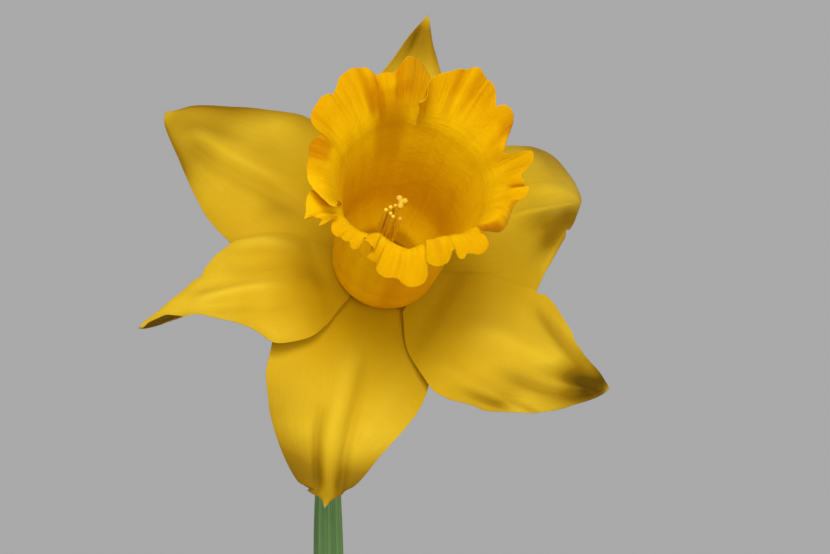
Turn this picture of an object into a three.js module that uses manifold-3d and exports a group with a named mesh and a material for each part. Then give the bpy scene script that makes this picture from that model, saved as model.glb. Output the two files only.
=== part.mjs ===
// A trumpet daffodil in flower, growing from its bulb in a plain clay pot.
// Millimetres, +Z up. The origin is the middle of the pot's flat foot, and the bloom looks towards -Y.
import * as THREE from 'three';
import { mergeVertices } from 'three/addons/utils/BufferGeometryUtils.js';
import Module from 'manifold-3d';

const wasm = await Module();
wasm.setup();

const { degToRad, lerp, smoothstep } = THREE.MathUtils;
const GAP = 0.3; // clearance between pieces that touch
const PAST = 1; // how far a cut runs past the face that it opens

// Pot
const POT = {
  height: 115, footRadius: 44, bodyTopRadius: 62, rimRadius: 65, bandHeight: 25, bandTaper: 3,
  wall: 6, lip: 8, floor: 7, chamfer: 1, sides: 40,
  holes: 3, holeRadius: 5, holeRing: 22, holeSides: 16,
};

// Soil: its top swells in waves, given by how far x, y and a slanting line run in a radian
const SOIL = {
  top: 98, swell: 1.1, waves: { x: 9, y: 11, slant: 7, slantShare: 0.4 }, slack: 0.4, rings: 4, sides: 30,
};

// Bulb with a side shoot: where each nose stands, and its outline as height and radius
const SHOOTS = {
  main: {
    x: 0, y: 0, pocketRadius: 9.5, pocketFloor: 100.7, sheathHeight: 35,
    outline: [[58, 7], [62, 14], [70, 20], [80, 22], [90, 20.5], [99, 16], [106, 12.6], [112, 11.6]],
  },
  side: {
    x: -27, y: 9, pocketRadius: 7.1, pocketFloor: 96.4, sheathHeight: 26,
    outline: [[67, 5], [71, 11], [78, 14.5], [86, 15], [94, 12.5], [101, 9.8], [106, 9]],
  },
};
const BULB = { sides: 20, rows: 10 };
const SHEATH = { wall: 1.1, slant: 4, sides: 20 };

// Leaves: shoot, heading in degrees, length, lean at the tip, twist at the tip, widest width
const LEAVES = {
  leaf_main_1: { shoot: 'main', heading: 40, length: 214, lean: 13, twist: 24, width: 13.5 },
  leaf_main_2: { shoot: 'main', heading: 130, length: 205, lean: 17, twist: -30, width: 13 },
  leaf_main_3: { shoot: 'main', heading: 220, length: 196, lean: 21, twist: 18, width: 13.5 },
  leaf_main_4: { shoot: 'main', heading: 310, length: 188, lean: 15, twist: -22, width: 12.5 },
  leaf_side_1: { shoot: 'side', heading: 165, length: 178, lean: 24, twist: 26, width: 11.5 },
  leaf_side_2: { shoot: 'side', heading: 285, length: 150, lean: 26, twist: -18, width: 10.5 },
  leaf_side_3: { shoot: 'side', heading: 45, length: 140, lean: 8, twist: 14, width: 10 },
};
const LEAF = {
  rows: 14, stepsPerRow: 8, columns: 4,
  edge: 0.8, tipThickness: 1.1, channel: 1.5, tipLength: 20, tipTaper: 0.97,
  spreadPower: 0.8, // how soon the leaf leans out above its sheath
  widens: [0.25, 0.65], // shares of the length between which it reaches its widest
};
const LEAF_ROOT = {
  main: { distance: 4.4, width: 8, thickness: 1.8 },
  side: { distance: 2.4, width: 7, thickness: 1.5 },
};

// The bloom stands at its centre, and is described as a viewer sees it from in front, 5 degrees above level
const BLOOM = { centre: [10.5, -36, 392], viewerAbove: 5, tipAway: 28, tipTowards: 68 };

// Scape, pedicel and ovary in one: points up the stem, then distances along the bloom's axis
const SCAPE = {
  sides: 8, steps: 34,
  crowding: 1.7, // above 1, the steps lie closer together towards the ovary
  path: [[0, 0, 101], [0, 0, 135], [-0.4, 1.2, 210], [-1.2, 3.4, 290], [-1.8, 5, 338], [-1.6, 5.2, 350]],
  along: [-41, -36, -32, -28, -25.6],
  // share of the path's length, half width across, half width front to back
  girth: [
    [0, 3.7, 3.1], [0.4, 3.6, 3.0], [0.78, 3.1, 2.6], [0.84, 2.6, 2.3], [0.88, 1.8, 1.8], [0.925, 1.9, 1.9],
    [0.945, 3.4, 3.4], [0.965, 4.0, 4.0], [0.985, 3.7, 3.7], [1, 3.1, 3.1],
  ],
};

// Spathe: the papery sheath round the pedicel. Each station is a distance up from its foot, the half angle of
// its wrap in degrees, its radius, and how far back it stands.
const SPATHE = {
  foot: [-1.7, 5.1, 343], rows: 9, columns: 8, wall: 0.7,
  stations: [
    [0, 150, 3.7, 0], [8, 140, 4.6, 0.4], [18, 115, 5.4, 2.4],
    [30, 85, 5.6, 6.5], [40, 60, 4.2, 11], [47, 40, 1.4, 14.5],
  ],
};

// Floral tube: distance along the bloom's axis, outer radius
const TUBE = {
  outline: [[-25.3, 3.2], [-20, 3.7], [-13, 4.6], [-7, 5.9], [-4, 7.2], [-2.6, 9.4], [-1.7, 9.4]],
  wall: 0.8, mouthRadius: 6.3, sides: 24,
};

// Tepals. Heading is anticlockwise from the bloom's right. Each station is a rib across the blade: distance
// from the axis, reach of the clockwise side, reach of the other side, midrib's sidestep, rise along the axis,
// and how far each side rolls forward at its margin, in degrees.
const TEPALS = {
  tepal_bottom: {
    heading: 256,
    stations: [
      [7.8, 5.5, 6.5, -0.6, -0.7, 0, 0], [11, 9.0, 10.5, -2.0, -0.6, 0, 0],
      [16, 12.2, 14.4, -2.9, 0, -6, -4], [22, 13.9, 15.9, -2.8, 0.2, -10, -8],
      [30.5, 13.6, 14.9, -2.7, 0.1, -14, -10], [38, 10.9, 10.0, -2.0, -0.6, -14, -10],
      [44.5, 7.6, 5.5, -0.8, -2.0, -8, 6], [48, 3.5, 2.2, 0, -3.0, 0, 14], [49.9, 0, 0, 0.1, -3.6, 0, 0],
    ],
  },
  tepal_lower_right: {
    heading: 330,
    stations: [
      [7.8, 6.0, 4.0, -0.8, 0.6, 0, 0], [12, 11.0, 7.5, -2.2, 0.6, 0, 0],
      [16, 13.9, 9.6, -2.5, 2.0, -6, 0], [22, 17.1, 11.4, -2.3, 3.0, -12, -6],
      [29.5, 16.9, 11.8, -1.1, 3.2, -14, -10], [36, 14.2, 8.2, -1.0, 2.6, -8, 4],
      [41.5, 10.6, 4.4, -0.6, 1.6, 14, 30], [46.5, 5.4, 2.2, 0.1, 0.2, 30, 50], [49.7, 0, 0, 0.9, -0.8, 0, 0],
    ],
  },
  tepal_upper_right: {
    heading: 26,
    stations: [
      [7.8, 3.5, 3.5, -0.6, -0.7, 0, 0], [11, 7.5, 7.0, -0.8, -0.6, 0, 0],
      [17, 13.0, 11.5, -0.4, 0.2, -6, -4], [24, 16.6, 13.4, 0, 0.6, -14, -10],
      [30, 13.6, 13.6, 0.2, 0.5, -22, -16], [36, 9.4, 14.2, 0.2, 0, -26, -20],
      [41, 6.0, 13.9, -0.2, -1.6, -24, -22], [44.6, 4.6, 11.2, 0.6, -3.8, -16, -20],
      [46.8, 2.6, 6.6, 2.0, -5.8, -8, -12], [47.8, 0, 0, 3.6, -7.0, 0, 0],
    ],
  },
  tepal_top: {
    heading: 79,
    stations: [
      [7.8, 3.0, 3.0, 0, 0.6, 0, 0], [12, 6.5, 6.5, 0, 0.6, 0, 0],
      [18, 10.8, 11.3, 0.2, 3.0, 6, 10], [28, 10.4, 11.6, 0.3, 6.2, 8, 24],
      [35, 6.7, 8.4, 0.4, 8.6, 10, 44], [40, 4.0, 5.6, 0.4, 10.3, 12, 60],
      [44, 2.0, 3.6, 0.5, 11.6, 10, 60], [47.4, 0.7, 1.5, 0.7, 12.6, 6, 40], [49.8, 0, 0, 0.9, 13.2, 0, 0],
    ],
  },
  tepal_upper_left: {
    heading: 143,
    stations: [
      [7.8, 3.5, 3.5, -0.4, -0.7, 0, 0], [11, 7.0, 7.0, -0.8, -0.6, 0, 0],
      [17, 12.8, 12.8, -1.7, 0, -4, -8], [24, 16.0, 16.5, -1.8, 0.2, -8, -16],
      [31, 16.5, 15.1, -0.8, 0.3, -10, -20], [38, 13.2, 10.5, -0.1, 0.2, -10, -22],
      [45, 8.5, 5.3, 0.1, -0.2, -8, -22], [49.4, 5.0, 2.9, 0, -0.7, -4, -14], [52, 0, 0, -0.3, -1.2, 0, 0],
    ],
  },
  tepal_lower_left: {
    heading: 197,
    stations: [
      [7.8, 4.0, 5.0, -0.5, 0.6, 0, 0], [12, 6.6, 8.8, -1.4, 0.6, 0, 0],
      [15.5, 9.0, 11.6, -1.5, 2.0, -14, -6], [20, 10.2, 13.6, -1.6, 3.4, -28, -10],
      [25.5, 10.4, 12.8, -1.1, 3.8, -30, -8], [30, 8.8, 8.8, -0.8, 3.8, -24, 16],
      [34.5, 6.0, 6.0, -0.7, 3.4, -16, 60], [40, 3.0, 4.0, -0.5, 2.6, -6, 100],
      [45, 1.6, 2.6, 0.2, 1.8, 0, 110], [49.3, 0, 0, 1.2, 1.0, 0, 0],
    ],
  },
};
// The nib is the last of the tip, and the probe the step that the blade's slope is taken over
const TEPAL = { thickness: 0.75, edge: 0.62, rows: 11, columns: 8, nib: 1.2, probe: 0.05 };

// Corona: inner outline of its cup as distance along the axis and radius, then the frilled mouth
const CORONA = {
  wall: 0.85, collarRadius: 6.35, collarFoot: -1.4, foot: 0.95, footRadius: 9.4,
  funnel: [[6.7, 1.6], [8.4, 4.2]],
  cup: [[0.95, 9.4], [3, 9.9], [8, 10.2], [15, 10.5], [22, 11.1], [27, 12], [30.5, 13]],
  cupRows: 3, flareRows: 4, columnStep: 4,
  throat: [13, 30.5], // radius and distance along the axis where the mouth starts to spread
  bend: [14.2, 35.6], // control point of the spread's curve
  cupLean: 0.15, mouthLean: 1.35, // radians by which the way through the wall leans back
  mouth: 37.5, mouthTilt: 1.5, notchDrop: 1.2,
};
// Lobes of the mouth, anticlockwise from the bloom's right: azimuth and reach of the notch before the lobe,
// place of its crest between its notches, reach of the crest, how square it is, and how far forward it lies
const LOBES = [
  [-1, 16.6, 0.62, 21.9, 0.55, 0.6],
  [18, 16.4, 0.66, 21.4, 0.6, 0],
  [43, 20.3, 0.44, 24.0, 0.5, 0],
  [84, 14.5, 0.42, 23.2, 0.6, 0.4],
  [104, 19.8, 0.58, 22.7, 0.55, 0],
  [134, 20.7, 0.55, 21.8, 0.6, 0],
  [158, 17.8, 0.62, 19.9, 0.6, 0.6],
  [173, 19.0, 0.5, 19.9, 0.6, 0.8],
  [193, 18.0, 0.62, 22.4, 0.6, -0.6],
  [214, 18.2, 0.5, 19.8, 0.6, -0.4],
  [228, 17.6, 0.5, 18.9, 0.6, -0.4],
  [243, 16.8, 0.3, 21.3, 0.5, -1.6],
  [257, 20.3, 0.4, 22.2, 0.6, -2.6],
  [275, 16.4, 0.45, 18.0, 0.6, -0.6],
  [293, 15.6, 0.62, 18.6, 0.6, -0.4],
  [316, 15.2, 0.5, 18.6, 0.5, 0],
  [345, 17.6, 0.6, 20.2, 0.6, 0.2],
];

// Stamens and pistil, in the bloom's axes. Each station of a stamen is a height, a distance from the axis and a
// radius. Every other anther stands higher by the lift.
const STAMENS = {
  count: 6, turn: 20, sides: 6, lift: 1,
  filament: [[-13, 3.1, 0.42], [0, 2.4, 0.42], [6.5, 2.0, 0.42]],
  anther: [[13, 1.8, 0.42], [13.6, 1.8, 0.58], [15.5, 1.8, 0.72], [19, 1.8, 0.65], [21, 1.8, 0.29]],
};
const PISTIL = {
  styleRadius: 0.6, styleHeights: [-24.2, 0, 6.5, 13, 19, 25], sides: 8,
  lobes: 3, lobeRadius: 1.0, lobeStretch: [1.25, 0.8, 1], lobeOffset: 0.8, lobeHeight: 25.1, lobeRows: 6,
};
const LEAN = { top: 24.5, x: -1.8, y: 0.3, power: 1.5 }; // sidestep that the pistil and anthers reach at the top

const COLOURS = {
  clay: [0xb8694a, 0.9], compost: [0x3a2a20, 1], tunic: [0x7a5332, 0.75], sheath: [0xc9cf9b, 0.6],
  leaf: [0x4f7f4a, 0.55], stem: [0x6b9a4c, 0.5], paper: [0xbfa173, 0.85], tube: [0xc8b83a, 0.55],
  tepal: [0xd9b328, 0.55], corona: [0xf0a800, 0.5], anther: [0xe0a050, 0.8], stigma: [0xe8c050, 0.6],
};

function material(name) {
  const [color, roughness] = COLOURS[name];
  return new THREE.MeshStandardMaterial({ name, color, roughness, metalness: 0 });
}

// Smooth curve through [x, y] points that keeps their rises and falls
function curveThrough(points) {
  const step = points.slice(1).map(([x], i) => x - points[i][0]);
  const slope = points.slice(1).map(([, y], i) => (y - points[i][1]) / step[i]);
  const bend = points.map((_, i) => {
    if (i === 0) return slope[0];
    if (i === slope.length) return slope[i - 1];
    if (slope[i - 1] * slope[i] <= 0) return 0;
    const before = 2 * step[i] + step[i - 1];
    const after = step[i] + 2 * step[i - 1];
    return (before + after) / (before / slope[i - 1] + after / slope[i]);
  });
  return (x) => {
    let i = step.length - 1;
    while (i > 0 && x < points[i][0]) i -= 1;
    const t = THREE.MathUtils.clamp((x - points[i][0]) / step[i], 0, 1);
    const u = 1 - t;
    return (1 + 2 * t) * u * u * points[i][1] + t * u * u * step[i] * bend[i]
      + t * t * (3 - 2 * t) * points[i + 1][1] - t * t * u * step[i] * bend[i + 1];
  };
}

const column = (rows, k) => curveThrough(rows.map((row) => [row[0], row[k]]));

function meshOf(points, triangles) {
  const geometry = new THREE.BufferGeometry();
  const places = points.flatMap((p) => [p.x, p.y, p.z]);
  geometry.setAttribute('position', new THREE.Float32BufferAttribute(places, 3));
  geometry.setIndex(triangles.flat());
  geometry.computeVertexNormals();
  return geometry;
}

// Closed body between two grids of rows and columns, split alike on both faces. The first grid's rows run up
// and its columns to the right, as seen from outside. A ring closes its columns on themselves. A tip is a pair
// of points, one for each face, past the last row.
function bodyBetween(front, back, { ring = false, tip = null } = {}) {
  const points = [...front.flat(), ...back.flat()];
  const rows = front.length;
  const columns = front[0].length;
  const other = rows * columns;
  const at = (r, c) => r * columns + (c % columns);
  const triangles = [];
  const quad = (a, b, c, d) => triangles.push([a, b, c], [a, c, d]);
  const spans = ring ? columns : columns - 1;
  for (let r = 0; r < rows - 1; r += 1) {
    for (let c = 0; c < spans; c += 1) {
      quad(at(r, c), at(r, c + 1), at(r + 1, c + 1), at(r + 1, c));
      quad(other + at(r, c), other + at(r + 1, c), other + at(r + 1, c + 1), other + at(r, c + 1));
    }
    if (!ring) {
      const last = columns - 1;
      quad(at(r, 0), at(r + 1, 0), other + at(r + 1, 0), other + at(r, 0));
      quad(at(r, last), other + at(r, last), other + at(r + 1, last), at(r + 1, last));
    }
  }
  for (let c = 0; c < spans; c += 1) {
    quad(at(0, c), other + at(0, c), other + at(0, c + 1), at(0, c + 1));
    const [a, b] = [at(rows - 1, c), at(rows - 1, c + 1)];
    if (!tip) quad(a, b, other + b, other + a);
  }
  if (tip) {
    const end = points.push(...tip) - 2;
    const last = rows - 1;
    for (let c = 0; c < spans; c += 1) {
      triangles.push([at(last, c), at(last, c + 1), end]);
      triangles.push([other + at(last, c + 1), other + at(last, c), end + 1]);
    }
    quad(at(last, 0), end, end + 1, other + at(last, 0));
    quad(at(last, columns - 1), other + at(last, columns - 1), end + 1, end);
  }
  return meshOf(points, triangles);
}

// Closed body through rings of points, with a flat cap at each end
function bodyThrough(rings) {
  const sides = rings[0].length;
  const points = rings.flat();
  const triangles = [];
  for (let r = 0; r < rings.length - 1; r += 1) {
    for (let c = 0; c < sides; c += 1) {
      const d = (c + 1) % sides;
      const [a, b] = [r * sides, (r + 1) * sides];
      triangles.push([a + c, a + d, b + d], [a + c, b + d, b + c]);
    }
  }
  const last = (rings.length - 1) * sides;
  for (let c = 1; c < sides - 1; c += 1) {
    triangles.push([0, c + 1, c], [last, last + c, last + c + 1]);
  }
  return meshOf(points, triangles);
}

// Solid of revolution from [radius, height] points that start and end on the axis
function turned(outline, sides) {
  const points = outline.map(([radius, z]) => new THREE.Vector2(radius, z));
  return new THREE.LatheGeometry(points, sides).rotateX(Math.PI / 2);
}

function cylinder(radius, foot, top, sides) {
  return turned([[0, foot], [radius, foot], [radius, top], [0, top]], sides);
}

function solid(geometry) {
  const bare = geometry.clone();
  bare.deleteAttribute('normal');
  bare.deleteAttribute('uv');
  const merged = mergeVertices(bare, 1e-4);
  return new wasm.Manifold(new wasm.Mesh({
    numProp: 3,
    vertProperties: new Float32Array(merged.attributes.position.array),
    triVerts: new Uint32Array(merged.index.array),
  }));
}

function geometryOf(manifold) {
  const { vertProperties, triVerts } = manifold.getMesh();
  const geometry = new THREE.BufferGeometry();
  geometry.setAttribute('position', new THREE.Float32BufferAttribute(vertProperties, 3));
  geometry.setIndex([...triVerts]);
  geometry.computeVertexNormals();
  return geometry;
}

const part = new THREE.Group();
part.name = 'potted_narcissus';

function add(name, geometry, finish, parent = part) {
  const mesh = new THREE.Mesh(geometry, material(finish));
  mesh.name = name;
  parent.add(mesh);
  return mesh;
}

// Pot
const bodyRadius = (z) => lerp(POT.footRadius, POT.bodyTopRadius, z / POT.height);
const innerFloorRadius = bodyRadius(POT.floor) - POT.wall;
const innerTopRadius = POT.rimRadius - POT.lip;
const innerRadius = (z) => lerp(innerFloorRadius, innerTopRadius, (z - POT.floor) / (POT.height - POT.floor));

function pot() {
  const { height, footRadius, rimRadius, bandHeight, bandTaper, floor, chamfer } = POT;
  const bandFoot = height - bandHeight;
  let body = solid(turned([
    [0, 0], [footRadius - chamfer, 0], [footRadius, chamfer], [bodyRadius(bandFoot), bandFoot],
    [rimRadius - bandTaper - chamfer, bandFoot], [rimRadius - bandTaper, bandFoot + chamfer],
    [rimRadius, height - chamfer], [rimRadius - chamfer, height],
    [innerTopRadius + chamfer, height], [innerTopRadius, height - chamfer],
    [innerFloorRadius, floor + chamfer], [innerFloorRadius - chamfer, floor], [0, floor],
  ], POT.sides));
  for (let k = 0; k < POT.holes; k += 1) {
    const angle = (2 * Math.PI * k) / POT.holes + Math.PI / 2;
    const hole = cylinder(POT.holeRadius, -PAST, floor + PAST, POT.holeSides)
      .translate(POT.holeRing * Math.cos(angle), POT.holeRing * Math.sin(angle), 0);
    body = body.subtract(solid(hole));
  }
  return geometryOf(body);
}

// One nose of the bulb, thicker all round by some extra where it is the hole in the soil
function nose({ x, y, outline }, extra) {
  const profile = column(outline, 1);
  const [foot, top] = [outline[0][0], outline.at(-1)[0]];
  const points = [[0, foot - extra]];
  for (let k = 0; k <= BULB.rows; k += 1) {
    const z = lerp(foot, top, k / BULB.rows);
    points.push([profile(z) + extra, k === 0 ? z - extra : z]);
  }
  points.push([0, top]);
  return solid(turned(points, BULB.sides).translate(x, y, 0));
}

// Bulb: two noses grown together, each with a pocket that its shoot stands in
function bulb() {
  let body = nose(SHOOTS.main, 0).add(nose(SHOOTS.side, 0));
  for (const { x, y, outline, pocketRadius, pocketFloor } of Object.values(SHOOTS)) {
    const pocket = cylinder(pocketRadius, pocketFloor, outline.at(-1)[0] + PAST, BULB.sides).translate(x, y, 0);
    body = body.subtract(solid(pocket));
  }
  return geometryOf(body);
}

function soilTop(x, y) {
  const { waves } = SOIL;
  const level = Math.sin(x / waves.x + 1) * Math.cos(y / waves.y);
  const slanting = waves.slantShare * Math.sin((x - 2 * y) / waves.slant);
  return SOIL.top + SOIL.swell * (level + slanting);
}

function soil() {
  const foot = POT.floor + POT.chamfer + GAP;
  const footRadius = innerRadius(foot) - GAP;
  const topRadius = innerRadius(SOIL.top) - GAP - SOIL.slack;
  const rings = [];
  const ringAt = (radius, height) => Array.from({ length: SOIL.sides }, (_, k) => {
    const angle = (2 * Math.PI * k) / SOIL.sides;
    const [x, y] = [radius * Math.cos(angle), radius * Math.sin(angle)];
    return new THREE.Vector3(x, y, height ?? soilTop(x, y));
  });
  rings.push(ringAt(footRadius, foot));
  for (let k = SOIL.rings; k >= 1; k -= 1) rings.push(ringAt((topRadius * k) / SOIL.rings));
  const hole = nose(SHOOTS.main, GAP).add(nose(SHOOTS.side, GAP));
  return geometryOf(solid(bodyThrough(rings)).subtract(hole));
}

// Sheath round the foot of a shoot's leaves, with a slanting mouth
function sheath({ x, y, pocketRadius, pocketFloor, sheathHeight }) {
  const outer = pocketRadius - GAP;
  const inner = outer - SHEATH.wall;
  const wall = (radius) => [0, 0.5, 1].map((share) => Array.from({ length: SHEATH.sides }, (_, k) => {
    const angle = (2 * Math.PI * k) / SHEATH.sides;
    const top = sheathHeight + SHEATH.slant * Math.cos(angle - 1);
    return new THREE.Vector3(
      x + radius * Math.cos(angle), y + radius * Math.sin(angle), pocketFloor + GAP + share * top);
  }));
  return bodyBetween(wall(outer), wall(inner), { ring: true });
}

// Leaf: a strap that stands in its sheath, then leans out, twists and hollows into a channel
function leaf({ shoot, heading, length, lean, twist, width }) {
  const { x, y, pocketFloor, sheathHeight } = SHOOTS[shoot];
  const root = LEAF_ROOT[shoot];
  const out = new THREE.Vector3(Math.cos(degToRad(heading)), Math.sin(degToRad(heading)), 0);
  const across = new THREE.Vector3(-out.y, out.x, 0);
  const up = new THREE.Vector3(0, 0, 1);
  const front = [];
  const back = [];
  const place = new THREE.Vector3(x, y, pocketFloor + 2 * GAP).addScaledVector(out, root.distance);
  const free = sheathHeight / length;
  const tipStart = 1 - LEAF.tipLength / length;
  const steps = LEAF.rows * LEAF.stepsPerRow;
  for (let k = 0; k <= steps; k += 1) {
    const share = k / steps;
    const spread = Math.max(0, (share - free) / (1 - free)) ** LEAF.spreadPower;
    const angle = degToRad(lean) * spread;
    const along = up.clone().multiplyScalar(Math.cos(angle)).addScaledVector(out, Math.sin(angle));
    if (k % LEAF.stepsPerRow === 0) {
      const facing = out.clone().multiplyScalar(-Math.cos(angle)).addScaledVector(up, Math.sin(angle));
      const turn = degToRad(twist) * smoothstep(share, free, 1);
      const side = across.clone().multiplyScalar(Math.cos(turn)).addScaledVector(facing, Math.sin(turn));
      const face = facing.clone().multiplyScalar(Math.cos(turn)).addScaledVector(across, -Math.sin(turn));
      const full = lerp(root.width, width, smoothstep(share, ...LEAF.widens));
      const end = Math.max(0, (share - tipStart) / (1 - tipStart));
      const half = (full / 2) * Math.sqrt(1 - (LEAF.tipTaper * end) ** 2);
      const channel = LEAF.channel * smoothstep(share, free * 1.5, 0.5) * (half / width) * 2;
      const thick = lerp(root.thickness, LEAF.tipThickness, share);
      const row = (depth) => Array.from({ length: LEAF.columns + 1 }, (_, c) => {
        const s = (2 * c) / LEAF.columns - 1;
        const edge = lerp(thick, LEAF.edge, s * s);
        return place.clone().addScaledVector(side, half * s)
          .addScaledVector(face, channel * s * s - depth * edge);
      });
      front.push(row(0));
      back.push(row(1));
    }
    place.addScaledVector(along, length / steps);
  }
  return bodyBetween(back, front);
}

// The bloom's own axes: x to its right, y up, z out of its mouth
const viewer = new THREE.Group();
viewer.position.set(...BLOOM.centre);
viewer.rotation.x = degToRad(90 - BLOOM.viewerAbove);
const bloom = new THREE.Group();
const away = degToRad(BLOOM.tipAway);
const towards = degToRad(BLOOM.tipTowards);
bloom.quaternion.setFromUnitVectors(new THREE.Vector3(0, 0, 1), new THREE.Vector3(
  Math.sin(away) * Math.cos(towards), Math.sin(away) * Math.sin(towards), Math.cos(away)));
viewer.add(bloom);
part.add(viewer);
part.updateMatrixWorld(true);

// Scape, pedicel and ovary
function scape() {
  const path = new THREE.CatmullRomCurve3([
    ...SCAPE.path.map((p) => new THREE.Vector3(...p)),
    ...SCAPE.along.map((z) => bloom.localToWorld(new THREE.Vector3(0, 0, z))),
  ], false, 'centripetal');
  const wide = column(SCAPE.girth, 1);
  const deep = column(SCAPE.girth, 2);
  const rings = [];
  for (let k = 0; k <= SCAPE.steps; k += 1) {
    const share = 1 - (1 - k / SCAPE.steps) ** SCAPE.crowding;
    const centre = path.getPointAt(share);
    const tangent = path.getTangentAt(share);
    const side = new THREE.Vector3(1, 0, 0).addScaledVector(tangent, -tangent.x).normalize();
    const other = tangent.clone().cross(side);
    rings.push(Array.from({ length: SCAPE.sides }, (_, c) => {
      const angle = (2 * Math.PI * c) / SCAPE.sides;
      return centre.clone().addScaledVector(side, wide(share) * Math.cos(angle))
        .addScaledVector(other, deep(share) * Math.sin(angle));
    }));
  }
  return bodyThrough(rings);
}

// Spathe, open towards the bloom
function spathe() {
  const wrap = column(SPATHE.stations, 1);
  const radius = column(SPATHE.stations, 2);
  const offset = column(SPATHE.stations, 3);
  const height = SPATHE.stations.at(-1)[0];
  const face = (inset) => Array.from({ length: SPATHE.rows + 1 }, (_, r) => {
    const z = (height * r) / SPATHE.rows;
    return Array.from({ length: SPATHE.columns + 1 }, (_, c) => {
      const angle = Math.PI / 2 + degToRad(wrap(z)) * ((2 * c) / SPATHE.columns - 1);
      const reach = radius(z) - inset;
      return new THREE.Vector3(...SPATHE.foot)
        .add(new THREE.Vector3(reach * Math.cos(angle), offset(z) + reach * Math.sin(angle), z));
    });
  });
  return bodyBetween(face(0), face(SPATHE.wall));
}

// Floral tube: a funnel closed at its foot, with a flat lip that the tepals sit on
function floralTube() {
  const { outline, wall, mouthRadius, sides } = TUBE;
  const inner = outline.slice(1, -2).map(([z, r]) => [Math.min(r - wall, mouthRadius), z]).reverse();
  const foot = outline[0];
  return turned([
    [0, foot[0]], ...outline.map(([z, r]) => [r, z]), [mouthRadius, outline.at(-1)[0]],
    ...inner, [foot[1] - wall, foot[0] + wall], [0, foot[0] + wall],
  ], sides);
}

// A point of a tepal's front face, at a share of its length and a place from -1 to 1 across it
function tepalSurface({ heading, stations }) {
  const [cw, ccw, sidestep, rise, rollCw, rollCcw] = [1, 2, 3, 4, 5, 6].map((k) => column(stations, k));
  const turn = degToRad(heading);
  return (u, s) => {
    const reach = s < 0 ? cw(u) : ccw(u);
    const roll = degToRad(s < 0 ? rollCw(u) : rollCcw(u));
    const bent = roll * Math.abs(s);
    const out = Math.abs(roll) < 1e-3 ? Math.abs(s) : Math.sin(bent) / roll;
    const lift = Math.abs(roll) < 1e-3 ? 0 : (1 - Math.cos(bent)) / roll;
    const v = sidestep(u) + Math.sign(s) * reach * out;
    const x = u * Math.cos(turn) - v * Math.sin(turn);
    const y = u * Math.sin(turn) + v * Math.cos(turn);
    return new THREE.Vector3(x, y, rise(u) + reach * lift);
  };
}

function tepal(shape) {
  const surface = tepalSurface(shape);
  const root = shape.stations[0][0];
  const end = shape.stations.at(-1)[0];
  const d = TEPAL.probe;
  const behind = (u, s, depth) => {
    const along = surface(u + d, s).sub(surface(u - d, s));
    const across = surface(u, Math.min(1, s + d)).sub(surface(u, Math.max(-1, s - d)));
    return surface(u, s).addScaledVector(along.cross(across).normalize(), -depth);
  };
  const front = [];
  const back = [];
  for (let r = 0; r <= TEPAL.rows; r += 1) {
    const u = lerp(root, end - TEPAL.nib, Math.sin((Math.PI / 2) * (r / TEPAL.rows)));
    const across = Array.from({ length: TEPAL.columns + 1 }, (_, c) => (2 * c) / TEPAL.columns - 1);
    front.push(across.map((s) => surface(u, s)));
    back.push(across.map((s) => behind(u, s, lerp(TEPAL.thickness, TEPAL.edge, s * s))));
  }
  const point = surface(end, 0);
  const tip = [point.clone().setZ(point.z - TEPAL.edge), point];
  return bodyBetween(back, front, { tip });
}

// Corona: a collar between the tepals' roots, a cup, and a mouth of frilled lobes
function coronaColumns() {
  const columns = [];
  LOBES.forEach(([start, notchReach, crest, reach, square, forward], k) => {
    const [nextStart, nextReach, , , , nextForward] = LOBES[(k + 1) % LOBES.length];
    const before = LOBES[(k + LOBES.length - 1) % LOBES.length][5];
    const span = (nextStart - start + 360) % 360;
    const count = Math.max(4, Math.round(span / CORONA.columnStep));
    for (let c = 0; c < count; c += 1) {
      const x = c / count;
      const warped = x < crest ? (0.5 * x) / crest : 0.5 + (0.5 * (x - crest)) / (1 - crest);
      const bump = Math.sin(Math.PI * warped) ** square;
      const low = lerp(notchReach, nextReach, x);
      const azimuth = degToRad(start + span * x);
      const mouth = CORONA.mouth + CORONA.mouthTilt * Math.sin(azimuth);
      const edge = lerp((before + forward) / 2, (forward + nextForward) / 2, x) - CORONA.notchDrop;
      columns.push({
        azimuth,
        reach: low + (reach - low) * bump,
        front: mouth + edge + (forward - edge) * Math.sin(Math.PI * x),
      });
    }
  });
  return columns;
}

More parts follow.
